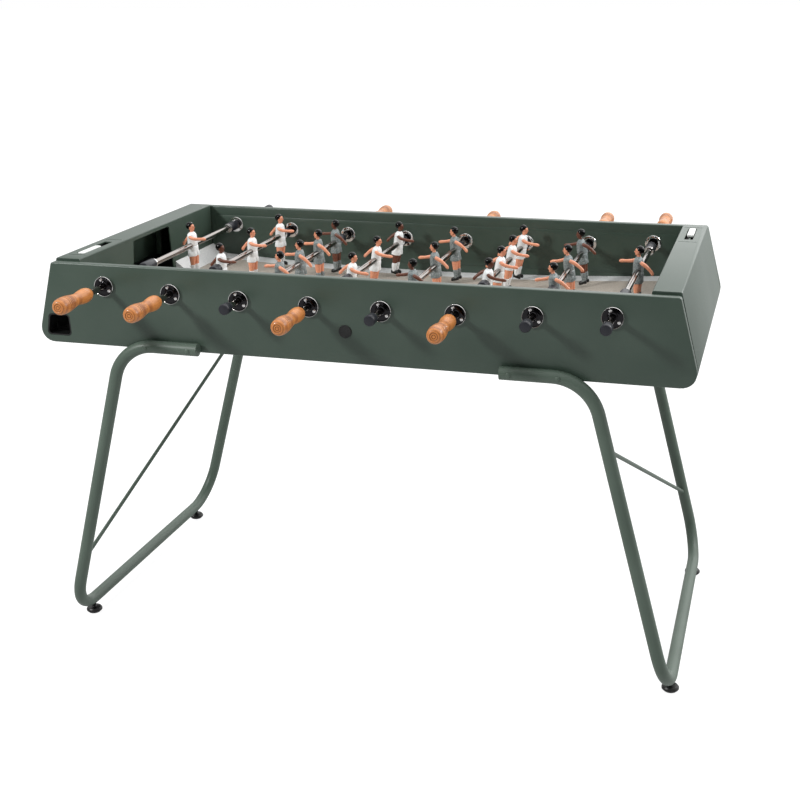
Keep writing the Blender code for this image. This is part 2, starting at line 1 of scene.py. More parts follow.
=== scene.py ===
# %% [markdown]
# # A foosball table, finished in Blender
# The CAD model fixes every size and every moving part. This lesson dresses it: painted
# sheet steel, chromed bearings, polished rods, turned wooden handles and moulded men.
# Everything is in metres, and each new piece rides on the CAD body that it belongs to.

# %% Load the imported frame
import json
import math

import bmesh
import bpy
from mathutils import Matrix, Vector


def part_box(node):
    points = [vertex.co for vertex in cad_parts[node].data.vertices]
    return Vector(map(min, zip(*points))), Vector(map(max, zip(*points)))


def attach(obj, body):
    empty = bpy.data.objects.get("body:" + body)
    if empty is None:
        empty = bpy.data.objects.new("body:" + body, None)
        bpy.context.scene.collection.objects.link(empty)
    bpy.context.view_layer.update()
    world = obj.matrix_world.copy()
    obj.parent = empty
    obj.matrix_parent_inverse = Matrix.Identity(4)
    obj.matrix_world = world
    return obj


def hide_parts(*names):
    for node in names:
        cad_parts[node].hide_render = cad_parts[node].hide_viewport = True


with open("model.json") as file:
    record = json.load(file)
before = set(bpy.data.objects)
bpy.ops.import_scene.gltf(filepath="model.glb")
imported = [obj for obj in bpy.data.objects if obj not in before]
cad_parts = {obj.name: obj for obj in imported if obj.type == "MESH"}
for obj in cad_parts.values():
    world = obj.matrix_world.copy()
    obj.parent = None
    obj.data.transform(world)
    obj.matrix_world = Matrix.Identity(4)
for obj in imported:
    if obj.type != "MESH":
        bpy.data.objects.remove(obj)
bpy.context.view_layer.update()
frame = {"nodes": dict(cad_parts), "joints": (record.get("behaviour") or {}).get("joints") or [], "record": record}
field_low, field_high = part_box("playfield")
MID = Vector((0.0, (field_low.y + field_high.y) / 2, 0.0))
STRAIGHT = Matrix.Translation(MID)
HALF_TURN = STRAIGHT @ Matrix.Rotation(math.pi, 4, "Z")
print("frame loaded, the table's middle is at y =", round(MID.y, 4))

# %% [markdown]
# ## Small tools
# A piece is shaped as a bmesh, which is Blender's editable mesh.

# %% Finish a shape as a named piece
SHARP = math.radians(34)


def new_object(name, data):
    """A new object at the origin, linked to the scene."""
    made = bpy.data.objects.new(name, data)
    bpy.context.scene.collection.objects.link(made)
    return made


def add_piece(name, shape, body, materials, node=None, sharp=SHARP):
    """Make an object at the origin out of a bmesh and let it ride on its body."""
    for face in shape.faces:
        face.smooth = True
    for edge in shape.edges:
        edge.smooth = edge.calc_face_angle(0.0) < sharp
    mesh = bpy.data.meshes.new(name)
    shape.to_mesh(mesh)
    shape.free()
    piece = new_object(name, mesh)
    for finish in materials:
        mesh.materials.append(finish)
    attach(piece, body)
    if node:
        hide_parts(node)
    return piece


def join_shapes(parts):
    """One bmesh out of (shape, material number, matrix) parts; the parts are used up."""
    whole = bmesh.new()
    for shape, number, matrix in parts:
        for face in shape.faces:
            face.material_index = number
        bmesh.ops.transform(shape, matrix=matrix, verts=shape.verts)
        if matrix.determinant() < 0:
            bmesh.ops.reverse_faces(shape, faces=shape.faces)
        scrap = bpy.data.meshes.new("scrap")
        shape.to_mesh(scrap)
        shape.free()
        whole.from_mesh(scrap)
        bpy.data.meshes.remove(scrap)
    return whole


# %% [markdown]
# Most parts of this table are turned on a lathe, folded from a sheet or bent from a tube.
# Blender's spin operator is the lathe. A sheet starts as a flat face whose corners are
# rounded with a vertex bevel. Holes are cut with a Boolean, as a punch would do it, and a
# cutting tool reaches a little past what it cuts.

# %% Lathe, plate and punch
MERGE = 1e-6
PAST = 0.01
IDENTITY = Matrix.Identity(4)
ABOUT_FACE = Matrix.Rotation(math.pi, 4, "Z")
Y_TO_Z = Matrix.Rotation(math.pi / 2, 4, "X")


def lathe(profile, steps=40):
    """Spin a profile of (radius, distance along Y) about the Y axis."""
    shape = bmesh.new()
    verts = [shape.verts.new((radius, along, 0.0)) for radius, along in profile]
    edges = [shape.edges.new(pair) for pair in zip(verts, verts[1:])]
    bmesh.ops.spin(shape, geom=verts + edges, cent=(0, 0, 0), axis=(0, 1, 0),
                   dvec=(0, 0, 0), angle=math.tau, steps=steps, use_merge=True,
                   use_duplicate=False)
    bmesh.ops.remove_doubles(shape, verts=shape.verts, dist=MERGE)
    bmesh.ops.recalc_face_normals(shape, faces=shape.faces)
    return shape


def round_edges(shape, width, segments=2, least=math.radians(30)):
    """Bevel every edge that is sharper than an angle."""
    edges = [e for e in shape.edges if len(e.link_faces) == 2 and e.calc_face_angle(0) > least]
    bmesh.ops.bevel(shape, geom=edges, offset=width, offset_type="OFFSET", affect="EDGES",
                    segments=segments, profile=0.5, material=-1, clamp_overlap=True)


def plate(corners, radii, depth, segments=8):
    """A flat outline with rounded corners, pushed out along `depth`."""
    shape = bmesh.new()
    verts = [shape.verts.new(corner) for corner in corners]
    shape.faces.new(verts)
    for vert, radius in zip(verts, radii):
        if radius > 0:
            lines = [e.other_vert(vert).co - vert.co for e in vert.link_edges]
            half = lines[0].angle(lines[1]) / 2
            bmesh.ops.bevel(shape, geom=[vert], offset=radius / math.tan(half),
                            offset_type="OFFSET", affect="VERTICES", segments=segments,
                            profile=0.5, material=-1)
    made = bmesh.ops.extrude_face_region(shape, geom=list(shape.faces))
    moved = [g for g in made["geom"] if isinstance(g, bmesh.types.BMVert)]
    bmesh.ops.translate(shape, vec=depth, verts=moved)
    bmesh.ops.recalc_face_normals(shape, faces=shape.faces)
    return shape


def brick(low, high, rounding=0.0, segments=2):
    """A box between two corners, its edges rounded."""
    low, high = Vector(low), Vector(high)
    shape = bmesh.new()
    size = Matrix.Diagonal((*(high - low), 1.0))
    bmesh.ops.create_cube(shape, size=1.0, matrix=Matrix.Translation((low + high) / 2) @ size)
    if rounding:
        round_edges(shape, rounding, segments)
    return shape


def punch(shape, tools, operation="DIFFERENCE"):
    """Cut (or join) shapes with an exact Boolean; every shape given is used up."""
    objects = []
    for part in (shape, *tools):
        mesh = bpy.data.meshes.new("punch")
        part.to_mesh(mesh)
        part.free()
        objects.append(new_object("punch", mesh))
    blank, *cutters = objects
    for cutter in cutters:
        modifier = blank.modifiers.new(operation, "BOOLEAN")
        modifier.operation = operation
        modifier.solver = "EXACT"
        modifier.object = cutter
    graph = bpy.context.evaluated_depsgraph_get()
    result = bmesh.new()
    result.from_object(blank, graph)
    for obj in objects:
        mesh = obj.data
        bpy.data.objects.remove(obj)
        bpy.data.meshes.remove(mesh)
    return result


# %% [markdown]
# ## Materials
# One helper adds a node, sets it up and links it, and `start_material` opens a new
# material with its shader. Patterns read Object coordinates, which are metres on this
# table, so a scale of 1000 means one cell for each millimetre.

# %% Add a node, start a material
def linear(hex_colour):
    """Turn an sRGB hex colour into the linear values that a shader wants."""
    values = [int(hex_colour[k:k + 2], 16) / 255 for k in (1, 3, 5)]
    return [v / 12.92 if v <= 0.04045 else ((v + 0.055) / 1.055) ** 2.4 for v in values] + [1.0]


FIRST, SECOND = 6, 7  # the two colours that go into a Mix node


def add_node(tree, kind, inputs=None, **settings):
    """Add a node; an input, by name or number, gets a plain value or a node's output."""
    made = tree.nodes.new(kind)
    for name, value in settings.items():
        setattr(made, name, value)
    for name, value in (inputs or {}).items():
        if isinstance(value, bpy.types.NodeSocket):
            tree.links.new(value, made.inputs[name])
        else:
            made.inputs[name].default_value = value
    return made


def start_material(name, colour, roughness, metallic=0.0, **more):
    """A new material: its node tree and its shader, with the plain values set."""
    material = bpy.data.materials.new(name)
    material.use_nodes = True
    tree = material.node_tree
    shader = tree.nodes["Principled BSDF"]
    plain = {"Base Color": linear(colour), "Roughness": roughness, "Metallic": metallic, **more}
    for key, value in plain.items():
        shader.inputs[key].default_value = value
    return material, tree, shader


def two_tone(tree, factor, low, high, start=0.35, end=0.65):
    """A ramp from one colour to another, driven by a pattern."""
    ramp = add_node(tree, "ShaderNodeValToRGB", {"Fac": factor})
    ramp.color_ramp.elements[0].position = start
    ramp.color_ramp.elements[0].color = linear(low)
    ramp.color_ramp.elements[1].position = end
    ramp.color_ramp.elements[1].color = linear(high)
    return ramp.outputs["Color"]


def place(tree, scale=(1, 1, 1), attribute=None):
    """The pattern's coordinates, stretched: Object coordinates or a named attribute."""
    if attribute:
        source = add_node(tree, "ShaderNodeAttribute", attribute_name=attribute).outputs["Vector"]
    else:
        source = add_node(tree, "ShaderNodeTexCoord").outputs["Object"]
    return add_node(tree, "ShaderNodeMapping", {"Vector": source, "Scale": scale}).outputs["Vector"]


def rough_and_bump(tree, shader, height, low, high, strength, distance):
    """Let a pattern vary the roughness between two values and raise the surface."""
    span = add_node(tree, "ShaderNodeMapRange", {"Value": height, "To Min": low, "To Max": high})
    tree.links.new(span.outputs["Result"], shader.inputs["Roughness"])
    bump = add_node(tree, "ShaderNodeBump",
                    {"Height": height, "Strength": strength, "Distance": distance})
    tree.links.new(bump.outputs["Normal"], shader.inputs["Normal"])


# %% [markdown]
# ** Painted steel.** The sheet body and the tube legs are powder coated in one dull green.
# The legs' copy of it is a lighter tone, which is painted light for the brighter light on the
# tubes, and it is a little rougher.
# Baked powder flows out almost flat but keeps a faint orange peel, a few millimetres from
# crest to crest, and it breaks up reflections. The tone drifts very slightly over a panel.

# %% Powder coat
def powder_coat(name, dark, light, low, high):
    """Baked paint between two close tones, its roughness between two values."""
    material, tree, shader = start_material(name, light, low)
    cloud = add_node(tree, "ShaderNodeTexNoise",
                     {"Vector": place(tree), "Scale": 7.0, "Detail": 3.0})
    tone = two_tone(tree, cloud.outputs["Fac"], dark, light)
    tree.links.new(tone, shader.inputs["Base Color"])
    peel = add_node(tree, "ShaderNodeTexNoise",
                    {"Vector": place(tree), "Scale": 420.0, "Detail": 1.5})
    rough_and_bump(tree, shader, peel.outputs["Fac"], low, high, 0.05, 0.0004)
    return material


green_paint = powder_coat("powder_coat_green", "#3a4a40", "#415046", 0.32, 0.42)
# painted light: the tubes take the same green in a lighter tone
lighter_leg_paint = powder_coat("powder_coat_green_tube_painted_lighter", "#4c5b50", "#556459", 0.40, 0.50)

# %% [markdown]
# ** Polished steel and chrome.** The rods are drawn tube, ground and polished, so what is
# left of the grinding runs round them. Bearings are chromed pressings, close to a mirror.
# The outer flanges' chrome is tinted nearly black: a painted reflection of dark surroundings.

# %% Rod steel and chrome
rod_steel, tree, shader = start_material("polished_steel_tube", "#98928e", 0.14, 1.0)
marks = add_node(tree, "ShaderNodeTexNoise",
                 {"Vector": place(tree, (1, 26, 1)), "Scale": 60.0, "Detail": 3.0})
rough_and_bump(tree, shader, marks.outputs["Fac"], 0.08, 0.22, 0.04, 0.0002)


def plated(name, colour):
    """Electroplated metal under a thin film of handling marks."""
    material, tree, shader = start_material(name, colour, 0.10, 1.0)
    film = add_node(tree, "ShaderNodeTexNoise",
                    {"Vector": place(tree), "Scale": 90.0, "Detail": 2.0})
    rough_and_bump(tree, shader, film.outputs["Fac"], 0.04, 0.10, 0.03, 0.0002)
    return material


chrome = plated("bright_chrome", "#e0dedd")
# painted reflection: chrome tinted nearly black, standing for the dark surroundings it reflects
chrome_painted_dark = plated("chrome_with_painted_dark_reflection", "#2d2c2e")

# %% [markdown]
# ** Turned wood.** The handles are beech, stained a warm brown and oiled. The fibres run
# along the handle, about a millimetre wide, under the faint rings of the tree. An attribute
# that comes with the handle's shape marks the bottoms of the turned grooves and of the end
# rings, and there the wood is painted dark brown: this is painted shade in the recesses.

# %% Oiled beech
wood, tree, shader = start_material("oiled_beech", "#a87151", 0.42, **{"Coat Weight": 0.25})
fibre = add_node(tree, "ShaderNodeTexNoise",
                 {"Vector": place(tree, (9, 0.8, 9), "local"), "Scale": 90.0, "Detail": 5.0,
                  "Roughness": 0.6})
grain = two_tone(tree, fibre.outputs["Fac"], "#b5692f", "#dc914a", 0.30, 0.70)
rings = add_node(tree, "ShaderNodeTexWave",
                 {"Vector": place(tree, (1, 1, 1), "local"), "Scale": 75.0, "Distortion": 1.2,
                  "Detail": 1.0}, wave_type="RINGS", rings_direction="Y")
ring_tone = two_tone(tree, rings.outputs["Fac"], "#7d4a2e", "#ffffff", 0.0, 0.55)
both = add_node(tree, "ShaderNodeMix", {"Factor": 0.45, FIRST: grain, SECOND: ring_tone},
                data_type="RGBA", blend_type="MULTIPLY")
# painted shade: the bottoms of the grooves and end rings are mixed towards a dark brown
groove_shade = add_node(tree, "ShaderNodeAttribute", attribute_name="groove_shade")
groove_shaded = add_node(tree, "ShaderNodeMix",
                 {"Factor": groove_shade.outputs["Fac"], FIRST: both.outputs[2],
                  SECOND: linear("#38190c")}, data_type="RGBA")
tree.links.new(groove_shaded.outputs[2], shader.inputs["Base Color"])
rough_and_bump(tree, shader, fibre.outputs["Fac"], 0.36, 0.52, 0.12, 0.0004)

# %% [markdown]
# **Rubber and moulded plastics.** Rubber is matt and nearly black. Moulded plastic has a
# fine spark-eroded skin, which is coarser here than the real one so that it shows.

# %% Rubber and plastics
def moulded(name, dark, light, roughness, grit=900.0, strength=0.08, **more):
    """A moulded or dipped skin whose grain also carries a slight change of tone."""
    material, tree, shader = start_material(name, light, roughness, **more)
    skin = add_node(tree, "ShaderNodeTexNoise",
                    {"Vector": place(tree), "Scale": grit, "Detail": 2.0})
    tone = two_tone(tree, skin.outputs["Fac"], dark, light)
    tree.links.new(tone, shader.inputs["Base Color"])
    rough_and_bump(tree, shader, skin.outputs["Fac"], roughness - 0.05, roughness + 0.08,
                   strength, 0.0002)
    return material


rubber = moulded("black_rubber", "#14151c", "#1d1f29", 0.42)
black_abs = moulded("black_abs", "#0c0d0d", "#151616", 0.40)
white_abs = moulded("white_abs", "#e6e9e6", "#f3f5f2", 0.30)
white_kit = moulded("white_kit", "#eef2f3", "#fbfcfc", 0.40, 500.0)
grey_kit = moulded("grey_kit", "#626c6d", "#98a0a0", 0.45, 380.0)
light_skin = moulded("light_skin_paint", "#e28f6c", "#f0a987", 0.42, 500.0)
dark_skin = moulded("dark_skin_paint", "#5c3222", "#74432e", 0.40, 500.0)
hair_paint = moulded("black_hair_paint", "#010101", "#050506", 0.20, 500.0,
                     **{"Specular IOR Level": 0.25})
lip_paint = moulded("lip_paint", "#8a3f35", "#9a4a3e", 0.5, 500.0)

# %% [markdown]
# **Field surface.** The field is a board with a hard printed laminate. Its middle is a
# brownish grey, and the raised strips and ramps round it are a pale grey. A band on the
# Object coordinates keeps the two colours exactly where the board bends.

# %% Laminate
SIDE_STRIP = 0.310
RAMP_START = 0.585
field_finish, tree, shader = start_material("field_laminate", "#84827e", 0.42)
position = add_node(tree, "ShaderNodeTexCoord").outputs["Object"]
split = add_node(tree, "ShaderNodeSeparateXYZ", {"Vector": position})


def maths(tree, operation, value, other=0.0):
    """The output of a Math node."""
    return add_node(tree, "ShaderNodeMath", {0: value, 1: other}, operation=operation).outputs[0]


def beyond(tree, value, middle, limit):
    """1 where a coordinate is further than `limit` from the middle."""
    offset = maths(tree, "ABSOLUTE", maths(tree, "SUBTRACT", value, middle))
    return maths(tree, "GREATER_THAN", offset, limit)


edge = maths(tree, "MAXIMUM", beyond(tree, split.outputs["Y"], MID.y, SIDE_STRIP),
             beyond(tree, split.outputs["X"], MID.x, RAMP_START))
speck = add_node(tree, "ShaderNodeTexNoise",
                 {"Vector": position, "Scale": 260.0, "Detail": 4.0})
inner = two_tone(tree, speck.outputs["Fac"], "#a39b90", "#bcb3a8")
outer = two_tone(tree, speck.outputs["Fac"], "#d4d6d6", "#e4e5e4")
mixed = add_node(tree, "ShaderNodeMix", {"Factor": edge, FIRST: inner, SECOND: outer},
                 data_type="RGBA")
tree.links.new(mixed.outputs[2], shader.inputs["Base Color"])
rough_and_bump(tree, shader, speck.outputs["Fac"], 0.36, 0.50, 0.05, 0.0002)
print("materials:", len(bpy.data.materials))

# %% [markdown]
# ## Long side panels
# Each long panel is one sheet folded over at the top and at both ends, open below. Its
# folds are soft, and they catch a line of light, so the edges are bevelled. A lining on the
# inside ends in a light line below the top. The rods go through eight holes, and the ball
# comes out of the rounded outlet at the low corner.

# %% Panel sizes, from the CAD frame
panel_low, panel_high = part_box("front_panel")
PANEL_OUT = MID.y - panel_low.y
PANEL_IN = MID.y - panel_high.y
PANEL_TOP = panel_high.z
PANEL_BOTTOM = panel_low.z
PANEL_HALF_TOP = 0.6815
PANEL_HALF_BOTTOM = 0.7297
CORNERS_TOP, CORNERS_BOTTOM = 0.006, 0.032
SHEET = 0.003
FOLD = 0.0026
CHANNEL_HALF = 0.672
ROWS = []
for number in range(1, 9):
    joint = next(j for j in frame["joints"] if j["name"] == f"row_{number}_spin")
    names = frame["record"]["behaviour"]["bodies"][f"row_{number}"]
    men = sorted(n for n in names if "player" in n)
    ROWS.append((number, Vector(joint["pos_m"]), men))
print("rows:", [(number, len(men)) for number, _, men in ROWS])


# %% Fold one panel and use it twice
OUTLET = [(-0.698, 0.779), (-0.647, 0.779), (-0.644, 0.729), (-0.706, 0.729)]
OUTLET_CORNER = 0.0095
SLEEVE_HOLE = 0.01315
LINING_HALF = 0.612
LINING_LOW, LINING_TOP = 0.7705, 0.8715
LINING_THICK = 0.0016


def drill(radius, start, stop, axis, sides):
    """A cylinder along Y that bores a hole where a rod passes."""
    shape = lathe([(0, start), (radius, start), (radius, stop), (0, stop)], sides)
    bmesh.ops.translate(shape, vec=(axis.x, 0, axis.z), verts=shape.verts)
    return shape


def panel_shape():
    """The front panel about the table's middle: a hollow fold, its lining and its holes."""
    corners = [(-PANEL_HALF_TOP, PANEL_TOP), (PANEL_HALF_TOP, PANEL_TOP),
               (PANEL_HALF_BOTTOM, PANEL_BOTTOM), (-PANEL_HALF_BOTTOM, PANEL_BOTTOM)]
    shape = plate([(x, -PANEL_OUT, z) for x, z in corners],
                  [CORNERS_TOP] * 2 + [CORNERS_BOTTOM] * 2, (0, PANEL_OUT - PANEL_IN, 0))
    round_edges(shape, FOLD, 3)
    channel = brick((-CHANNEL_HALF, -PANEL_OUT + SHEET, PANEL_BOTTOM - PAST),
                    (CHANNEL_HALF, -PANEL_IN - SHEET, PANEL_TOP - SHEET))
    lining = brick((-LINING_HALF, -PANEL_IN - 0.001, LINING_LOW),
                   (LINING_HALF, -PANEL_IN + LINING_THICK, LINING_TOP), 0.0007)
    shape = punch(shape, [lining], "UNION")
    outlet = plate([(x, -PANEL_OUT - PAST, z) for x, z in OUTLET], [OUTLET_CORNER] * 4,
                   (0, 4 * PAST, 0))
    tools = [channel, outlet]
    for _, axis, _ in ROWS:
        tools.append(drill(SLEEVE_HOLE, -PANEL_OUT - PAST, -PANEL_IN + PAST, axis, 32))
    return punch(shape, tools)


folded = panel_shape()
for node, turn in (("front_panel", STRAIGHT), ("rear_panel", HALF_TURN)):
    shape = join_shapes([(folded.copy(), 0, turn)])
    add_piece(f"{node}_sheet", shape, "table_frame", [green_paint], node)
folded.free()
print("panels folded")

# %% [markdown]
# ## End casings
# An end casing is a sheet that runs up the inner end wall, over the flat top, down the
# slanting end face and under. The goal mouth is punched in its wall and the score slot in
# its top. The profile is drawn once, swept along Y and thickened inwards.

# %% Casing profile and sweep
CAP_TOP = 0.900
CAP_INNER = 0.6235
CAP_OUTER = 0.6813
CAP_HALF = 0.346
END_SLOPE = 0.2564
CASING_BOTTOM = 0.7133
WALL_BOTTOM = 0.745
LIP_END = 0.660
LIP_LOW = 0.865
FOOT_CUT = 0.700


def end_x(z, inset=0.0):
    """How far out the slanting end face is at a height."""
    return CAP_OUTER + (CAP_TOP - z) * END_SLOPE - inset * math.hypot(1.0, END_SLOPE)


def casing_profile(inset=0.0):
    """Outline of the casing in X and Z, closed across the open foot of the wall."""
    low, high = CASING_BOTTOM + inset, CAP_TOP - inset
    return [(-(CAP_INNER + inset), WALL_BOTTOM - 4 * inset), (-(CAP_INNER + inset), high),
            (-end_x(high, inset), high), (-end_x(low, inset), low), (-LIP_END, low)]


def casing_shape():
    """The bent sheet: the outer shape less the inner one, and open at its foot."""
    solid = plate([(x, -CAP_HALF, z) for x, z in casing_profile()],
                  (0, 0.0035, 0.0035, 0.030, 0), (0, 2 * CAP_HALF, 0))
    round_edges(solid, 0.0008, 2, math.radians(60))
    start, depth = -CAP_HALF - PAST, (0, 2 * (CAP_HALF + PAST), 0)
    hollow = plate([(x, start, z) for x, z in casing_profile(SHEET)],
                   (0, 0.001, 0.001, 0.027, 0), depth)
    foot = [(-CAP_INNER + PAST, FOOT_CUT), (-CAP_INNER + PAST, WALL_BOTTOM),
            (-CAP_INNER - PAST, WALL_BOTTOM), (-LIP_END, CASING_BOTTOM + 0.0004),
            (-LIP_END, FOOT_CUT)]
    open_foot = plate([(x, start, z) for x, z in foot], [0] * 5, depth)
    return punch(solid, [hollow, open_foot])


shell = casing_shape()
print("casing shell:", len(shell.faces), "faces")

# %% [markdown]
# The casing's sides are closed by short lips folded down from the top, the score slot has
# a dark tray under it, and two thin slits beside the slot show where its bezel is set in.
# Behind the goal mouth stand a narrow rib and a dark backing plate.

# %% Lips, goal mouth and score slot
INTO = 0.001  # how far a lip is sunk into the sheet that it joins
MOUTH_TOP, MOUTH_LOW = 0.889, 0.735
MOUTH_HALF_TOP = 0.0945
MOUTH_SPREAD = 0.1263
MOUTH_CORNER = 0.006
SLOT = ((-0.6605, -0.295), (-0.6405, -0.163))
SLOT_CORNER = 0.004
SLOT_MIDDLE = (SLOT[0][0] + SLOT[1][0]) / 2
SLIT_X = (-0.671, -0.630)
SLIT_Y = (-0.138, -0.308)
SLIT_HALF, SLIT_DEPTH = 0.0014, 0.0040


def finish_casing(shell):
    """Close the sides with lips and punch the goal mouth, the slot and the slits."""
    top = CAP_TOP - INTO
    lip = [(-CAP_INNER - INTO, LIP_LOW), (-end_x(LIP_LOW, INTO), LIP_LOW),
           (-end_x(top, INTO), top), (-CAP_INNER - INTO, top)]
    lips = []
    for y in (-CAP_HALF + 0.0004, CAP_HALF - SHEET - 0.0004):
        lips.append(plate([(x, y, z) for x, z in lip], [0] * 4, (0, SHEET, 0)))
    shell = punch(shell, lips, "UNION")
    half_low = MOUTH_HALF_TOP + MOUTH_SPREAD * (MOUTH_TOP - MOUTH_LOW)
    corners = [(-MOUTH_HALF_TOP, MOUTH_TOP), (MOUTH_HALF_TOP, MOUTH_TOP),
               (half_low, MOUTH_LOW), (-half_low, MOUTH_LOW)]
    mouth = plate([(-0.640, y, z) for y, z in corners], (MOUTH_CORNER, MOUTH_CORNER, 0, 0),
                  (0.030, 0, 0))
    (x0, y0), (x1, y1) = SLOT
    corners = [(x0, y0), (x1, y0), (x1, y1), (x0, y1)]
    slot = plate([(x, y, 0.887) for x, y in corners], [SLOT_CORNER] * 4, (0, 0, 0.03))
    slits = [brick((SLIT_X[0], y - SLIT_HALF, CAP_TOP - SLIT_DEPTH),
                   (SLIT_X[1], y + SLIT_HALF, CAP_TOP + PAST)) for y in SLIT_Y]
    return punch(shell, [mouth, slot, *slits])


def slot_parts():
    """The dark tray under the score slot, and the rail that the slider straddles."""
    (x0, y0), (x1, y1) = SLOT
    tray = brick((x0 - 0.003, y0 - 0.003, 0.8840), (x1 + 0.003, y1 + 0.003, 0.8965))
    tray = punch(tray, [brick((x0 - 0.001, y0 - 0.001, 0.8865), (x1 + 0.001, y1 + 0.001, 0.91))])
    rail = brick((SLOT_MIDDLE - 0.0022, y0, 0.8850), (SLOT_MIDDLE + 0.0022, y1, 0.8945), 0.0005)
    return tray, rail


casing = finish_casing(shell)
for node, turn in (("left_end_casing", STRAIGHT), ("right_end_casing", HALF_TURN)):
    tray, rail = slot_parts()
    rib = brick((-0.6850, 0.139, 0.806), (-0.672, 0.143, 0.884), 0.0006)
    backing = brick((-0.6840, 0.143, 0.806), (-0.6700, 0.240, 0.884))
    shape = join_shapes([(casing.copy(), 0, turn), (tray, 1, turn), (rail, 0, turn),
                         (rib, 0, turn), (backing, 1, turn)])
    add_piece(f"{node}_sheet", shape, "table_frame", [green_paint, black_abs], node)
casing.free()
print("casings done")

# %% [markdown]
# ## Score sliders
# A white marker slides in each slot and straddles the rail. It is a small moulded block
# with well rounded ends, a little proud of the casing, so that a finger can push it.

# %% Sliders
SLIDER_HALF = 0.0077
SLIDER_Y = (-0.2925, -0.2125)
SLIDER_Z = (0.8952, 0.9015)
for node, turn in (("left_score_slider", STRAIGHT), ("right_score_slider", HALF_TURN)):
    block = brick((SLOT_MIDDLE - SLIDER_HALF, SLIDER_Y[0], SLIDER_Z[0]),
                  (SLOT_MIDDLE + SLIDER_HALF, SLIDER_Y[1], SLIDER_Z[1]), 0.0022, 4)
    shape = join_shapes([(block, 0, turn)])
    body = "left_score_marker" if node.startswith("left") else "right_score_marker"
    add_piece(f"{node}_marker", shape, body, [white_abs], node)

# %% [markdown]
# ## Playing field
# The field is dished along the table, rises a little at the long walls and climbs a ramp
# at each end beside the goals. A flat face is cut into a grid with bisect_plane, so that
# there is an edge exactly along each fold, and the grid's points are then lifted.

# %% Field
FIELD_Z = 0.7465
FIELD_CURVE = 0.055
SIDE_RISE = 0.003
RAMP_TOP = 0.7935
SILL_HALF = 0.119
SILL_STEP = 0.0005
BOARD = 0.008
GRID = 0.045
field_half = Vector((field_high.x, (field_high.y - field_low.y) / 2))


def field_height(x, y):
    """Height of the playing surface, measured from the table's middle."""
    z = FIELD_Z + FIELD_CURVE * x * x
    if abs(y) > SIDE_STRIP:
        z += SIDE_RISE * (abs(y) - SIDE_STRIP) / (field_half.y - SIDE_STRIP)
    if abs(x) > RAMP_START and abs(y) >= SILL_HALF - 10 * MERGE:
        foot = FIELD_Z + FIELD_CURVE * RAMP_START ** 2
        share = (abs(x) - RAMP_START) / (field_half.x - RAMP_START)
        z = max(z, foot + (RAMP_TOP - foot) * share)
    return z


shape = bmesh.new()
bmesh.ops.create_grid(shape, x_segments=1, y_segments=1, size=1.0,
                      matrix=Matrix.Diagonal((field_half.x, field_half.y, 1, 1)))
cuts = [(x, 0) for x in (-RAMP_START, RAMP_START)] + [(GRID * k, 0) for k in range(-12, 13)]
cuts += [(0, s * y) for s in (-1, 1) for y in (SILL_HALF - SILL_STEP, SILL_HALF, SIDE_STRIP)]
for x, y in cuts:
    normal = (1, 0, 0) if y == 0 else (0, 1, 0)
    geom = shape.verts[:] + shape.edges[:] + shape.faces[:]
    bmesh.ops.bisect_plane(shape, geom=geom, dist=MERGE, plane_co=(x, y, 0), plane_no=normal)
for vert in shape.verts:
    vert.co.z = field_height(vert.co.x, vert.co.y)
bmesh.ops.recalc_face_normals(shape, faces=shape.faces)
if sum(face.normal.z for face in shape.faces) < 0:
    bmesh.ops.reverse_faces(shape, faces=shape.faces)
under = bmesh.ops.extrude_face_region(shape, geom=shape.faces[:])
low_verts = [g for g in under["geom"] if isinstance(g, bmesh.types.BMVert)]
for vert in low_verts:
    vert.co.z = FIELD_Z + FIELD_CURVE * vert.co.x ** 2 - BOARD
bmesh.ops.recalc_face_normals(shape, faces=shape.faces)
add_piece("playfield_board", join_shapes([(shape, 0, STRAIGHT)]), "table_frame",
          [field_finish], "playfield", math.radians(20))
print("field done")

# %% [markdown]
# ## Bearings
# Each rod runs in a plated bearing. Outside it is a shallow chrome flange in a bright rim,
# held by three screws, and inside is a second flange. The outer flange's chrome is tinted
# nearly black, a painted reflection of dark surroundings. A flat bar in the hollow panel
# backs them. All eight of a side are one piece here, as they are one node in the frame.

# %% One bearing, its screws and a row of eight
FLANGE = 0.0225
RIM_INSIDE = 0.0212
FLANGE_FACE = 0.3785
SLEEVE = 0.0122
SLEEVE_END = 0.3485
BORE = 0.0074
SCREW_ANGLES = [math.radians(angle) for angle in (107, 218, 329)]
SCREW_RING, INNER_SCREW_RING = 0.0158, 0.0166
BAR_HALF, BAR_Y, BAR_Z = 0.600, (-0.3645, -0.3605), (0.822, 0.866)
BAR_HOLE = 0.011


def screw_shape():
    """A button head with a round recess, its head pointing along -Y."""
    return lathe([(0, 0.0), (0.0040, 0.0), (0.0040, -0.0008), (0.0033, -0.0019),
                  (0.0018, -0.0024), (0.0016, -0.0024), (0.0016, -0.0013), (0, -0.0013)], 20)


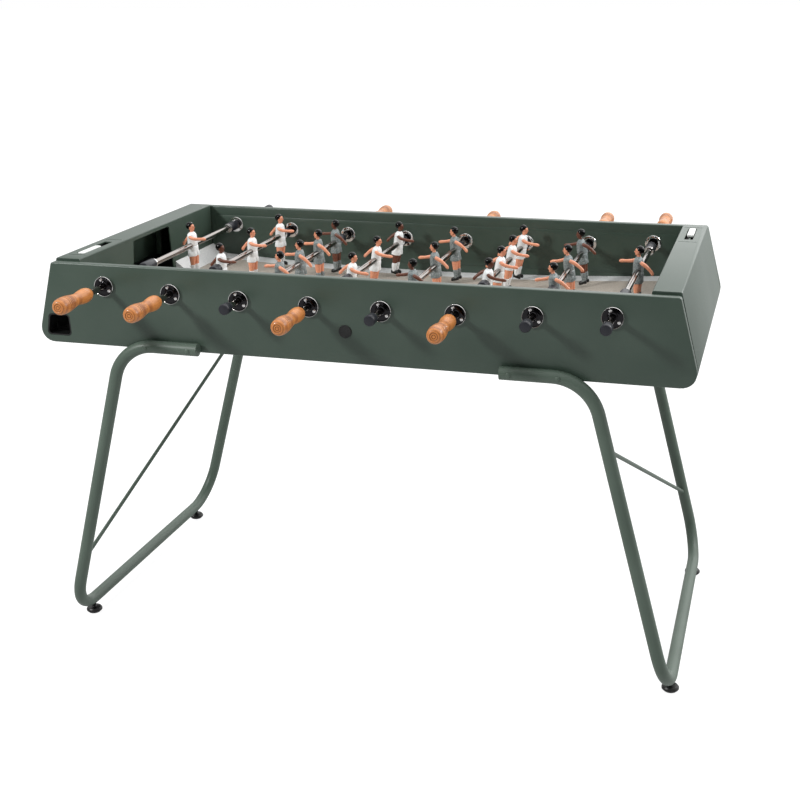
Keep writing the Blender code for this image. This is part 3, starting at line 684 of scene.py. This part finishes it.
def bearing_parts(centre, turn):
    """Both flanges, the sleeve, the bright rim and six screws of one bearing."""
    at = turn @ Matrix.Translation(centre)
    face = FLANGE_FACE
    outside = lathe([(BORE, -0.368), (BORE, -face + 0.0004), (BORE + 0.0004, -face),
                     (0.0098, -face), (0.0106, -face + 0.0012), (0.0120, -face + 0.0018),
                     (0.0195, -face + 0.0018), (0.0211, -face + 0.0014),
                     (0.0211, -PANEL_OUT), (SLEEVE, -PANEL_OUT), (SLEEVE, -SLEEVE_END),
                     (BORE, -SLEEVE_END), (BORE, -0.368)], 48)
    inside = lathe([(SLEEVE, -0.3520), (0.0200, -0.3520), (0.0200, -0.3498),
                    (0.0192, -0.3488), (0.0135, -0.3480), (SLEEVE, -0.3480),
                    (SLEEVE, -0.3520)], 48)
    back_face = -PANEL_OUT - 0.0002
    rim = lathe([(RIM_INSIDE, back_face), (RIM_INSIDE, -face + 0.0012),
                 (0.0219, -face + 0.0006), (FLANGE, -face + 0.0014),
                 (FLANGE, back_face), (RIM_INSIDE, back_face)], 48)
    # the outer flange (finish 1) takes the darkened chrome: painted dark reflection
    parts = [(outside, 1, at), (rim, 0, at), (inside, 0, at)]
    for a in SCREW_ANGLES:
        spot = (SCREW_RING * math.cos(a), -face + 0.0018, SCREW_RING * math.sin(a))
        parts.append((screw_shape(), 2, at @ Matrix.Translation(spot)))
        inner = (INNER_SCREW_RING * math.cos(a), -0.3487, INNER_SCREW_RING * math.sin(a))
        parts.append((screw_shape(), 2, at @ Matrix.Translation(inner) @ ABOUT_FACE
                      @ Matrix.Scale(0.8, 4)))
    return parts


for node, turn in (("front_bearings", STRAIGHT), ("rear_bearings", HALF_TURN)):
    parts = []
    for _, axis, _ in ROWS:
        parts += bearing_parts(Vector((axis.x, 0, axis.z)), turn)
    bar = brick((-BAR_HALF, BAR_Y[0], BAR_Z[0]), (BAR_HALF, BAR_Y[1], BAR_Z[1]))
    holes = [drill(BAR_HOLE, -0.37, -0.35, axis, 24) for _, axis, _ in ROWS]
    parts.append((punch(bar, holes), 3, turn))
    add_piece(f"{node}_set", join_shapes(parts), "table_frame",
              [chrome, chrome_painted_dark, chrome, green_paint], node)
print("bearings done")

# %% [markdown]
# ## Legs
# Each leg frame is one long tube bent four times: a stub along the panel, down, across the
# floor, up and along again. The path's corners are rounded here, and a curve with a round
# bevel makes the tube. A thin bar braces it corner to corner.

# %% Bend the tubes
def tube(points, radius, resolution=6):
    """A round bar along a path, closed at both ends."""
    curve = bpy.data.curves.new("tube", "CURVE")
    curve.dimensions = "3D"
    curve.bevel_depth = radius
    curve.bevel_resolution = resolution
    curve.use_fill_caps = True
    spline = curve.splines.new("POLY")
    spline.points.add(len(points) - 1)
    for point, place_at in zip(spline.points, points):
        point.co = (*place_at, 1.0)
    obj = new_object("tube", curve)
    shape = bmesh.new()
    mesh = bpy.data.meshes.new_from_object(obj.evaluated_get(
        bpy.context.evaluated_depsgraph_get()))
    shape.from_mesh(mesh)
    bpy.data.objects.remove(obj)
    bpy.data.curves.remove(curve)
    bpy.data.meshes.remove(mesh)
    bmesh.ops.remove_doubles(shape, verts=shape.verts, dist=MERGE)
    bmesh.ops.recalc_face_normals(shape, faces=shape.faces)
    return shape


def arc_arm(start, stop, share):
    """A point on the arc between two arms of one length."""
    whole = start.angle(stop)
    return (start * math.sin((1 - share) * whole) + stop * math.sin(share * whole)) / math.sin(whole)


def bent(corners, radius, steps=14):
    """The corner points of a path with each inner corner turned into an arc."""
    path = [Vector(corners[0])]
    for before, here, after in zip(corners, corners[1:], corners[2:]):
        here = Vector(here)
        back = (Vector(before) - here).normalized()
        onward = (Vector(after) - here).normalized()
        half = back.angle(onward) / 2
        centre = here + (back + onward).normalized() * radius / math.sin(half)
        start = here + back * radius / math.tan(half) - centre
        stop = here + onward * radius / math.tan(half) - centre
        for step in range(steps + 1):
            path.append(centre + arc_arm(start, stop, step / steps))
    path.append(Vector(corners[-1]))
    return path


TUBE = 0.014
BRACE = 0.0045
BRACE_LOW = 0.187
BRACE_HIGH = 0.577
BRACE_SETBACK = 0.0125
LEG_Y = 0.3863
LEG_TOP, LEG_FLOOR = 0.7227, 0.035
STUB_END, LEG_CORNER, LEG_OUT = 0.332, 0.5152, 0.7004
BEND = 0.100
LEG_SIDE = [(-STUB_END, LEG_TOP), (-LEG_CORNER, LEG_TOP), (-LEG_OUT, LEG_FLOOR)]
LEG_PATH = [(x, -LEG_Y, z) for x, z in LEG_SIDE] + [(x, LEG_Y, z) for x, z in LEG_SIDE[::-1]]
BOLT_X = (-0.352, -0.452)
BOLT_RADIUS, BOLT_HEIGHT = 0.0052, 0.0030


def upright_x(z):
    """How far from the middle an upright is at a height."""
    return LEG_CORNER + (LEG_OUT - LEG_CORNER) * (LEG_TOP - z) / (LEG_TOP - LEG_FLOOR)


def bolt_shape(radius, height):
    """A domed bolt head that points along -Y."""
    return lathe([(0, 0.0), (radius, 0.0), (radius, -height * 0.45), (radius * 0.8, -height * 0.85),
                  (radius * 0.5, -height), (0, -height)], 20)


for end, turn in (("left", STRAIGHT), ("right", HALF_TURN)):
    parts = [(tube(bent(LEG_PATH, BEND), TUBE), 0, turn)]
    for side, way in ((-1, IDENTITY), (1, ABOUT_FACE)):
        for x in BOLT_X:
            spot = Matrix.Translation((x, side * (LEG_Y + TUBE - 0.0006), LEG_TOP))
            parts.append((bolt_shape(BOLT_RADIUS, BOLT_HEIGHT), 0, turn @ spot @ way))
    add_piece(f"{end}_leg_tube", join_shapes(parts), "table_frame", [lighter_leg_paint],
              f"{end}_leg_frame")
    low = Vector((-upright_x(BRACE_LOW), -LEG_Y, BRACE_LOW))
    high = Vector((-upright_x(BRACE_HIGH), LEG_Y, BRACE_HIGH))
    along = (high - low).normalized() * BRACE_SETBACK
    bar = tube([low + along, high - along], BRACE)
    add_piece(f"{end}_brace_bar", join_shapes([(bar, 0, turn)]), "table_frame", [lighter_leg_paint],
              f"{end}_brace")
print("legs done")

# %% [markdown]
# ## Feet and badge
# A levelling foot is a moulded disc on a threaded stem. The badge on the front is a plain
# black disc with a turned rim.

# %% Feet
STEM, STEM_CORE = 0.0055, 0.0049
STEM_FOOT, STEM_TOP = 0.0131, 0.0205
THREAD = 0.0012
BADGE = 0.0140
BADGE_Z = 0.7827
for node in ("foot_front_left", "foot_rear_left", "foot_rear_right", "foot_front_right"):
    low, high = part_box(node)
    centre = Vector(((low.x + high.x) / 2, (low.y + high.y) / 2, 0.0))
    pad = lathe([(0, 0), (0.0144, 0), (0.0150, 0.0006), (0.0165, 0.0030), (0.0186, 0.0042),
                 (0.0190, 0.0050), (0.0190, 0.0082), (0.0184, 0.0094), (0.0162, 0.0120),
                 (0.0070, 0.0130), (0, 0.0130)], 40)
    stem_profile = [(0, STEM_FOOT - 0.0003)]
    for k in range(6):
        turn_z = STEM_FOOT + k * THREAD
        stem_profile += [(STEM, turn_z), (STEM_CORE, turn_z + THREAD / 2)]
    stem = lathe(stem_profile + [(0, STEM_TOP)], 24)
    at = Matrix.Translation(centre) @ Y_TO_Z
    add_piece(f"{node}_pad", join_shapes([(pad, 0, at), (stem, 0, at)]), f"{node}_body",
              [black_abs], node)

badge_profile = [(0, 0.0014), (0.0112, 0.0014), (0.0120, 0.0022), (0.0134, 0.0022),
                 (BADGE, 0.0014), (BADGE, 0.0003), (0, 0.0003)]
badge = lathe([(radius, -PANEL_OUT - proud) for radius, proud in badge_profile], 48)
bmesh.ops.translate(badge, vec=(0, 0, BADGE_Z), verts=badge.verts)
add_piece("badge_disc", join_shapes([(badge, 0, STRAIGHT)]), "table_frame", [black_abs],
          "badge")

# %% [markdown]
# ## Rods
# A rod is a 14 mm steel tube with a rubber cap on its far end. Two rubber bumpers ride on
# it and stop it at the bearings, and a goalkeeper's bumpers have a bright collar. The grey
# team's rods are the same, turned to face the other way. LEAN is the angle, in degrees, by
# which the men of each row lean forward at rest.

# %% Rods
ROD = 0.007
ROD_SKIN = ROD - 0.0002  # rings start here, a little inside the rod
TENON = 0.036  # how far the rod reaches into its handle
GRIP_END = 0.647
GRIP_LENGTH = 0.128
CAP_START = 0.488
CAP_END = 0.515
MEN_PITCH = {1: 0.0, 3: 0.187, 4: 0.1285}
LEAN = (-3.0, 0.0, 2.0, 7.0, 5.0, 8.0, 7.5, 0.0)
KEEPER_BUMPER = (0.218, 0.268)
BUMPER_SPACE = 0.0195
BUMPER_LENGTH = 0.030


def row_matrix(axis, men):
    """Put a row on its axis, turned round for the grey team."""
    way = ABOUT_FACE if men[0].startswith("grey") else IDENTITY
    return Matrix.Translation(axis) @ way


def ring_on_rod(profile):
    """A ring with this outline round the rod, closed along the rod's surface."""
    (_, start), (_, stop) = profile[0], profile[-1]
    return lathe([(ROD_SKIN, start), *profile, (ROD_SKIN, stop), (ROD_SKIN, start)], 40)


def bumper_parts(count, at):
    """Both rubber bumpers of a row, with a steel washer at each inner end."""
    start = MEN_PITCH[count] * (count - 1) / 2 + BUMPER_SPACE
    start, stop = KEEPER_BUMPER if count == 1 else (start, start + BUMPER_LENGTH)
    parts = []
    for side in (-1, 1):
        way = at @ Matrix.Diagonal((1, side, 1, 1))
        rubber_ring = ring_on_rod([(0.0115, start + 0.0015), (0.0124, start + 0.0030),
                                   (0.0125, stop - 0.0030), (0.0116, stop - 0.0006),
                                   (0.0100, stop)])
        washer = ring_on_rod([(0.0110, start), (0.0114, start + 0.0004),
                              (0.0114, start + 0.0015)])
        parts += [(rubber_ring, 1, way), (washer, 2, way)]
        if count == 1:
            collar = ring_on_rod([(0.0098, start - 0.0060), (0.0105, start - 0.0053),
                                  (0.0105, start - 0.0002)])
            parts.append((collar, 2, way))
    return parts


for number, axis, men in ROWS:
    at = row_matrix(axis, men)
    rod_start = -GRIP_END + GRIP_LENGTH - TENON
    bar = lathe([(0, rod_start), (ROD, rod_start), (ROD, CAP_START + 0.004),
                 (0, CAP_START + 0.004)], 40)
    cap = lathe([(0, CAP_START), (0.0096, CAP_START), (0.0108, CAP_START + 0.0008),
                 (0.0112, CAP_START + 0.0030), (0.0106, CAP_START + 0.0040),
                 (0.0113, CAP_START + 0.0050), (0.0119, CAP_END - 0.006),
                 (0.0116, CAP_END - 0.0025), (0.0100, CAP_END - 0.0005),
                 (0.0080, CAP_END), (0, CAP_END)], 40)
    parts = [(bar, 0, at), (cap, 1, at), *bumper_parts(len(men), at)]
    add_piece(f"rod_{number}_bar", join_shapes(parts), f"rod_{number}_tube",
              [rod_steel, rubber, chrome], f"rod_{number}")
print("rods done")

# %% [markdown]
# ## Handles
# The handles are turned from one piece of wood: a large bulge at the free end with six fine
# grooves, a waist and a smaller bulge. The outline is a smooth curve through a few radii,
# with the grooves taken off, and the spin operator turns it. Each handle also keeps its own
# coordinates as an attribute, so the grain turns and slides with the handle, and is moved on
# a little for each one, so that no two handles show the same grain.

# %% Turn a handle
HANDLE_SHAPE = ((0.0000, 0.0100), (0.0016, 0.0132), (0.0050, 0.0156), (0.0115, 0.0172),
                (0.0200, 0.0178), (0.0310, 0.0176), (0.0440, 0.0164), (0.0570, 0.0144),
                (0.0700, 0.0130), (0.0830, 0.0137), (0.0960, 0.0153), (0.1060, 0.0158),
                (0.1160, 0.0151), (0.1235, 0.0130), (0.1275, 0.0105))
GROOVES = (0.0240, 0.0300, 0.0360, 0.0420, 0.0480, 0.0540)
GROOVE_HALF = 0.0012
GROOVE_DEPTH = 0.0010
END_RINGS = (0.0036, 0.0074)
GRAIN_STEP = 0.37


def handle_radius(s):
    """The outline's radius at a distance from the free end, on a Catmull-Rom curve."""
    points = HANDLE_SHAPE
    k = max(i for i in range(len(points) - 1) if points[i][0] <= s)
    (s1, r1), (s2, r2) = points[k], points[k + 1]
    s0, r0 = points[k - 1] if k else (2 * s1 - s2, 2 * r1 - r2)
    s3, r3 = points[k + 2] if k + 2 < len(points) else (2 * s2 - s1, 2 * r2 - r1)
    u = (s - s1) / (s2 - s1)
    m1 = (r2 - r0) / (s2 - s0) * (s2 - s1)
    m2 = (r3 - r1) / (s3 - s1) * (s2 - s1)
    radius = ((2 * u ** 3 - 3 * u ** 2 + 1) * r1 + (u ** 3 - 2 * u ** 2 + u) * m1
              + (3 * u ** 2 - 2 * u ** 3) * r2 + (u ** 3 - u ** 2) * m2)
    for groove in GROOVES:
        radius -= GROOVE_DEPTH * max(0.0, 1 - abs(s - groove) / GROOVE_HALF)
    return radius


def handle_profile():
    """Points of the outline: the end face with two rings, the side, and the socket."""
    stops = {round(0.0025 * k, 5) for k in range(51)} | {0.0006, 0.0012}
    for groove in GROOVES:
        stops = {s for s in stops if abs(s - groove) > GROOVE_HALF}
        stops |= {groove, groove - GROOVE_HALF, groove + GROOVE_HALF}
    profile = [(0, 0.0004)]
    for ring in END_RINGS:
        profile += [(ring - 0.0006, 0.0003), (ring, 0.0012), (ring + 0.0006, 0.0003)]
    profile.append((0.0090, 0.0))
    profile += [(handle_radius(s), s) for s in sorted(stops)]
    profile += [(0.0112, 0.1270), (0.0102, 0.1278), (0.0074, 0.1280), (0.0074, 0.0900),
                (0, 0.0900)]
    return [(radius, s - GRIP_END) for radius, s in profile]


def groove_shade_at(radius, s):
    """How much painted shade the wood gets: 1 at the bottoms of the grooves and of the rings."""
    in_groove = any(abs(s - groove) < GROOVE_HALF / 2 for groove in GROOVES)
    in_ring = s < 0.002 and any(abs(radius - ring) < 0.0003 for ring in END_RINGS)
    return 1.0 if in_groove or in_ring else 0.0


for number, axis, men in ROWS:
    shape = lathe(handle_profile(), 48)
    local = shape.verts.layers.float_vector.new("local")
    # this attribute marks where painted shade darkens the grooves and rings
    groove_shade_layer = shape.verts.layers.float.new("groove_shade")
    for vert in shape.verts:
        vert[local] = vert.co + Vector((0.0, GRAIN_STEP * number, 0.0))
        vert[groove_shade_layer] = groove_shade_at(math.hypot(vert.co.x, vert.co.z), vert.co.y + GRIP_END)
    bmesh.ops.transform(shape, matrix=row_matrix(axis, men), verts=shape.verts)
    add_piece(f"handle_{number}_grip", shape, f"row_{number}", [wood], f"handle_{number}",
              math.radians(50))
print("handles done")

# %% [markdown]
# ## Men
# A man is moulded in one piece and painted: shirt and shorts of one colour, bare arms and
# thighs, socks, black shoes and black hair. His right arm reaches forward and his left
# hangs back. Each part is a skin through a few ovals, closed with bridge_loops, and one
# subdivision rounds it. The face is a plain one: nose, eyes, mouth and ears.

# %% Skins through ovals
def skin(rings, sides=12):
    """Close a skin through rings of (centre, half depth, half width, direction)."""
    shape = bmesh.new()
    loops = []
    for centre, depth, width, along in rings:
        turn = Vector(along).to_track_quat("Z", "Y").to_matrix().to_4x4()
        matrix = Matrix.Translation(centre) @ turn @ Matrix.Diagonal((depth, width, 1, 1))
        made = bmesh.ops.create_circle(shape, segments=sides, radius=1.0, matrix=matrix)
        loops.append(list({e for v in made["verts"] for e in v.link_edges}))
    for low, high in zip(loops, loops[1:]):
        bmesh.ops.bridge_loops(shape, edges=low + high)
    for loop in (loops[0], loops[-1]):
        bmesh.ops.edgeloop_fill(shape, edges=loop)
    bmesh.ops.recalc_face_normals(shape, faces=shape.faces)
    return shape


def upright(rings, sides=12):
    """Rings of (height, half depth, half width, x, y), all level."""
    return skin([((x, y, z), depth, width, (0, 0, 1)) for z, depth, width, x, y in rings], sides)


def limb(points, sides=10):
    """A skin along a bent limb, through (x, y, z, radius) points."""
    spots = [Vector(p[:3]) for p in points]
    rings = []
    for k, point in enumerate(points):
        along = spots[min(k + 1, len(spots) - 1)] - spots[max(k - 1, 0)]
        rings.append((spots[k], point[3], point[3], along))
    return skin(rings, sides)


def ball(centre, half, sides=14):
    """An ellipsoid with these half sizes."""
    shape = bmesh.new()
    bmesh.ops.create_uvsphere(shape, u_segments=sides, v_segments=10, radius=1.0,
                              matrix=Matrix.Translation(centre) @ Matrix.Diagonal((*half, 1)))
    return shape


# %% A man's parts
KIT, SKIN, HAIR, SHOE, LIP = range(5)


def man_parts():
    """(shape, paint) for every part, facing +X with the rod's axis through the origin."""
    shirt = upright([(-0.0040, 0.0108, 0.0140, 0, 0), (-0.0030, 0.0122, 0.0152, 0, 0),
                     (0.0040, 0.0124, 0.0150, 0, 0), (0.0140, 0.0122, 0.0152, 0.0004, 0),
                     (0.0220, 0.0116, 0.0162, 0.0002, 0), (0.0272, 0.0098, 0.0160, 0, 0),
                     (0.0302, 0.0074, 0.0122, 0, 0), (0.0322, 0.0054, 0.0066, 0, 0),
                     (0.0330, 0.0040, 0.0048, 0, 0)], 14)
    parts = [(shirt, KIT)]
    waist = upright([(0.0000, 0.0120, 0.0148, 0, 0), (-0.0030, 0.0130, 0.0158, 0, 0),
                     (-0.0100, 0.0132, 0.0164, 0, 0), (-0.0180, 0.0130, 0.0166, 0, 0),
                     (-0.0190, 0.0110, 0.0150, 0, 0)], 14)
    parts.append((waist, KIT))
    for side, ahead in ((1, 0.0018), (-1, -0.0018)):
        y = side * 0.0080
        parts.append((upright([(-0.0120, 0.0110, 0.0080, 0, y), (-0.0180, 0.0122, 0.0086, 0, y),
                               (-0.0262, 0.0124, 0.0089, ahead * 0.3, y),
                               (-0.0272, 0.0120, 0.0085, ahead * 0.3, y),
                               (-0.0270, 0.0100, 0.0070, ahead * 0.3, y)]), KIT))
        parts.append((upright([(-0.0240, 0.0092, 0.0072, ahead * 0.3, y),
                               (-0.0340, 0.0084, 0.0068, ahead * 0.5, y),
                               (-0.0430, 0.0066, 0.0058, ahead * 0.7, y),
                               (-0.0470, 0.0063, 0.0056, ahead * 0.8, y),
                               (-0.0520, 0.0060, 0.0054, ahead * 0.8 - 0.0006, y)]), SKIN))
        parts.append((upright([(-0.0486, 0.0060, 0.0054, ahead * 0.8, y),
                               (-0.0492, 0.0067, 0.0060, ahead * 0.8, y),
                               (-0.0540, 0.0068, 0.0061, ahead * 0.9 - 0.0008, y),
                               (-0.0620, 0.0055, 0.0052, ahead - 0.0006, y),
                               (-0.0680, 0.0048, 0.0048, ahead, y),
                               (-0.0720, 0.0048, 0.0048, ahead, y)]), KIT))
        parts.append((skin([((ahead - 0.0072, y, -0.0725), 0.0018, 0.0030, (1, 0, 0)),
                            ((ahead - 0.0062, y, -0.0718), 0.0040, 0.0046, (1, 0, 0)),
                            ((ahead - 0.0010, y, -0.0712), 0.0052, 0.0054, (1, 0, 0)),
                            ((ahead + 0.0050, y, -0.0727), 0.0040, 0.0056, (1, 0, 0)),
                            ((ahead + 0.0110, y, -0.0740), 0.0029, 0.0050, (1, 0, 0)),
                            ((ahead + 0.0128, y, -0.0745), 0.0016, 0.0030, (1, 0, 0))]), SHOE))
    parts += arm_parts() + head_parts()
    return parts


def arm_parts():
    """Two sleeves, the arm that reaches forward and the arm that hangs back."""
    ahead = limb([(-0.0010, -0.0130, 0.0276, 0.0044), (0.0000, -0.0172, 0.0262, 0.0047),
                  (0.0040, -0.0202, 0.0225, 0.0041)])
    reach = limb([(0.0010, -0.0185, 0.0250, 0.0042), (0.0060, -0.0208, 0.0208, 0.0044),
                  (0.0150, -0.0208, 0.0182, 0.0043), (0.0250, -0.0197, 0.0174, 0.0038),
                  (0.0325, -0.0187, 0.0172, 0.0034), (0.0375, -0.0181, 0.0174, 0.0044),
                  (0.0425, -0.0177, 0.0173, 0.0040), (0.0460, -0.0175, 0.0170, 0.0018)])
    behind = limb([(-0.0010, 0.0130, 0.0276, 0.0044), (-0.0030, 0.0172, 0.0258, 0.0047),
                   (-0.0080, 0.0196, 0.0222, 0.0042)])
    hang = limb([(-0.0050, 0.0186, 0.0245, 0.0042), (-0.0120, 0.0205, 0.0200, 0.0046),
                 (-0.0190, 0.0210, 0.0160, 0.0045), (-0.0250, 0.0205, 0.0100, 0.0040),
                 (-0.0300, 0.0198, 0.0045, 0.0034), (-0.0325, 0.0193, 0.0010, 0.0042),
                 (-0.0345, 0.0189, -0.0030, 0.0036), (-0.0352, 0.0187, -0.0050, 0.0016)])
    return [(ahead, KIT), (behind, KIT), (reach, SKIN), (hang, SKIN)]


def head_parts():
    """Neck, head, a cap of hair cut off at the brow, and a plain face."""
    neck = upright([(0.0290, 0.0046, 0.0050, 0, 0), (0.0330, 0.0042, 0.0045, 0.0002, 0),
                    (0.0385, 0.0044, 0.0046, 0.0008, 0)])
    head = upright([(0.0350, 0.0028, 0.0030, 0.0040, 0), (0.0362, 0.0052, 0.0046, 0.0028, 0),
                    (0.0395, 0.0080, 0.0064, 0.0008, 0), (0.0440, 0.0090, 0.0073, 0.0002, 0),
                    (0.0490, 0.0086, 0.0073, 0.0000, 0), (0.0525, 0.0060, 0.0054, -0.0004, 0)])
    hair = ball((-0.0024, 0, 0.0474), (0.0104, 0.0092, 0.0098))
    geom = hair.verts[:] + hair.edges[:] + hair.faces[:]
    cut = bmesh.ops.bisect_plane(hair, geom=geom, dist=MERGE, plane_co=(0.0032, 0, 0.0480),
                                 plane_no=(0.80, 0, -0.60), clear_outer=True)
    rim = [g for g in cut["geom_cut"] if isinstance(g, bmesh.types.BMEdge)]
    bmesh.ops.edgeloop_fill(hair, edges=rim)
    bmesh.ops.recalc_face_normals(hair, faces=hair.faces)
    parts = [(neck, SKIN), (head, SKIN), (hair, HAIR)]
    parts.append((ball((0.0088, 0, 0.0434), (0.0018, 0.0011, 0.0019), 10), SKIN))
    parts.append((ball((0.0074, 0, 0.0394), (0.0010, 0.0020, 0.0006), 10), LIP))
    for side in (-1, 1):
        parts.append((ball((0.0077, side * 0.0029, 0.0458), (0.0009, 0.0011, 0.0008), 10), HAIR))
        parts.append((ball((0.0002, side * 0.0074, 0.0440), (0.0018, 0.0010, 0.0025), 10), SKIN))
    return parts


# %% Put twenty-two men on their rods
DARK_MEN = ("white_player_2_1", "grey_player_3_1", "white_player_4_3", "grey_player_5_3",
            "white_player_6_1", "grey_player_7_1")
for number, axis, men in ROWS:
    for k, node in enumerate(men):
        across = (k - (len(men) - 1) / 2) * MEN_PITCH[len(men)]
        at = (row_matrix(axis, men) @ Matrix.Translation((0, across, 0))
              @ Matrix.Rotation(math.radians(LEAN[number - 1]), 4, "Y"))
        shape = join_shapes([(part, paint, at) for part, paint in man_parts()])
        kit = white_kit if node.startswith("white") else grey_kit
        body_paint = dark_skin if node in DARK_MEN else light_skin
        man = add_piece(f"{node}_figure", shape, f"row_{number}",
                        [kit, body_paint, hair_paint, black_abs, lip_paint], node,
                        math.radians(75))
        smooth = man.modifiers.new("round", "SUBSURF")
        smooth.levels = 1
        smooth.render_levels = 1
print("men done")

# %% [markdown]
# ## CAD nodes that stay
# The chutes and the tray under the field have the right shape already. They only need the
# material that their real counterparts have.

# %% Dress the kept nodes
for node, finish in (("left_ball_chute", black_abs), ("right_ball_chute", black_abs),
                     ("underside_tray", green_paint)):
    mesh = frame["nodes"][node].data
    mesh.materials.clear()
    mesh.materials.append(finish)

# %% [markdown]
# ## Floor, light and camera
# A white floor that glows to the camera keeps the surroundings plain. The sky is bright
# behind the table and overhead, and dim in front and to the left, which gives the paint its
# sheen from this side. The key lamp stands near, high on the left in front, so that shadows
# fan out, and a weak lamp on the right reaches into the goal.

# %% Stage
floor_mesh = bmesh.new()
bmesh.ops.create_grid(floor_mesh, x_segments=1, y_segments=1, size=40.0)
mesh = bpy.data.meshes.new("floor")
floor_mesh.to_mesh(mesh)
floor_mesh.free()
floor = new_object("floor", mesh)
floor_material = bpy.data.materials.new("white_floor")
floor_material.use_nodes = True
tree = floor_material.node_tree
tree.nodes.clear()
rays = add_node(tree, "ShaderNodeLightPath")
strength = add_node(tree, "ShaderNodeMapRange", {"Value": rays.outputs["Is Camera Ray"],
                                                 "To Min": 0.34, "To Max": 0.88})
glow = add_node(tree, "ShaderNodeEmission", {"Color": (1, 1, 1, 1),
                                             "Strength": strength.outputs["Result"]})
matt = add_node(tree, "ShaderNodeBsdfDiffuse", {"Color": (0.28, 0.28, 0.28, 1)})
total = add_node(tree, "ShaderNodeAddShader", {0: glow.outputs[0], 1: matt.outputs[0]})
add_node(tree, "ShaderNodeOutputMaterial", {"Surface": total.outputs[0]})
mesh.materials.append(floor_material)

world = bpy.data.worlds.new("studio")
bpy.context.scene.world = world
world.use_nodes = True
tree = world.node_tree
tree.nodes.clear()
way = add_node(tree, "ShaderNodeTexCoord").outputs["Generated"]
axes = add_node(tree, "ShaderNodeSeparateXYZ", {"Vector": way})


def ramp_along(axis, start, stop, low, high):
    """A value that climbs between two levels along one axis of the sky."""
    made = add_node(tree, "ShaderNodeMapRange", {"Value": axes.outputs[axis], "From Min": start,
                                                 "From Max": stop, "To Min": low, "To Max": high})
    return made.outputs["Result"]


sky = maths(tree, "ADD", ramp_along("Y", -0.5, 0.7, 0.12, 1.70), ramp_along("Z", 0.35, 0.9, 0.0, 0.8))
sky = maths(tree, "MULTIPLY", sky, ramp_along("X", -0.5, -0.05, 0.42, 1.05))
rays = add_node(tree, "ShaderNodeLightPath")
seen = add_node(tree, "ShaderNodeMix", {"Factor": rays.outputs["Is Camera Ray"], 2: sky, 3: 1.0})
sky_light = add_node(tree, "ShaderNodeBackground", {"Color": (1, 1, 1, 1),
                                                    "Strength": seen.outputs[0]})
add_node(tree, "ShaderNodeOutputWorld", {"Surface": sky_light.outputs[0]})


def soft_lamp(name, spot, target, size, watts):
    """A square lamp that faces a point."""
    lamp_data = bpy.data.lights.new(name, "AREA")
    lamp_data.size = size
    lamp_data.energy = watts
    lamp = new_object(name, lamp_data)
    lamp.location = spot
    lamp.rotation_euler = (Vector(target) - Vector(spot)).to_track_quat("-Z", "Y").to_euler()


soft_lamp("key", (-2.57, -2.73, 2.84), (0.0, -0.3, 0.8), 0.5, 100.0)
soft_lamp("goal_fill", (1.6, 0.5, 1.7), (-0.65, -0.05, 0.84), 0.5, 12.0)

# %% Camera
YAW, PITCH, ROLL = 0.2921, 0.3241, -0.0130
eye = Vector((0.8652, -2.9303, 1.5149))
ahead = Vector((-math.sin(YAW) * math.cos(PITCH), math.cos(YAW) * math.cos(PITCH),
                -math.sin(PITCH)))
right = Vector((math.cos(YAW), math.sin(YAW), 0.0))
up = right.cross(ahead)
side = right * math.cos(ROLL) + up * math.sin(ROLL)
top = up * math.cos(ROLL) - right * math.sin(ROLL)
camera_data = bpy.data.cameras.new("camera")
camera_data.sensor_width = 36.0
camera_data.lens = 58.93
camera = new_object("camera", camera_data)
camera.matrix_world = Matrix.Translation(eye) @ Matrix((side, top, -ahead)).transposed().to_4x4()
bpy.context.scene.camera = camera
bpy.context.scene.view_settings.view_transform = "Standard"
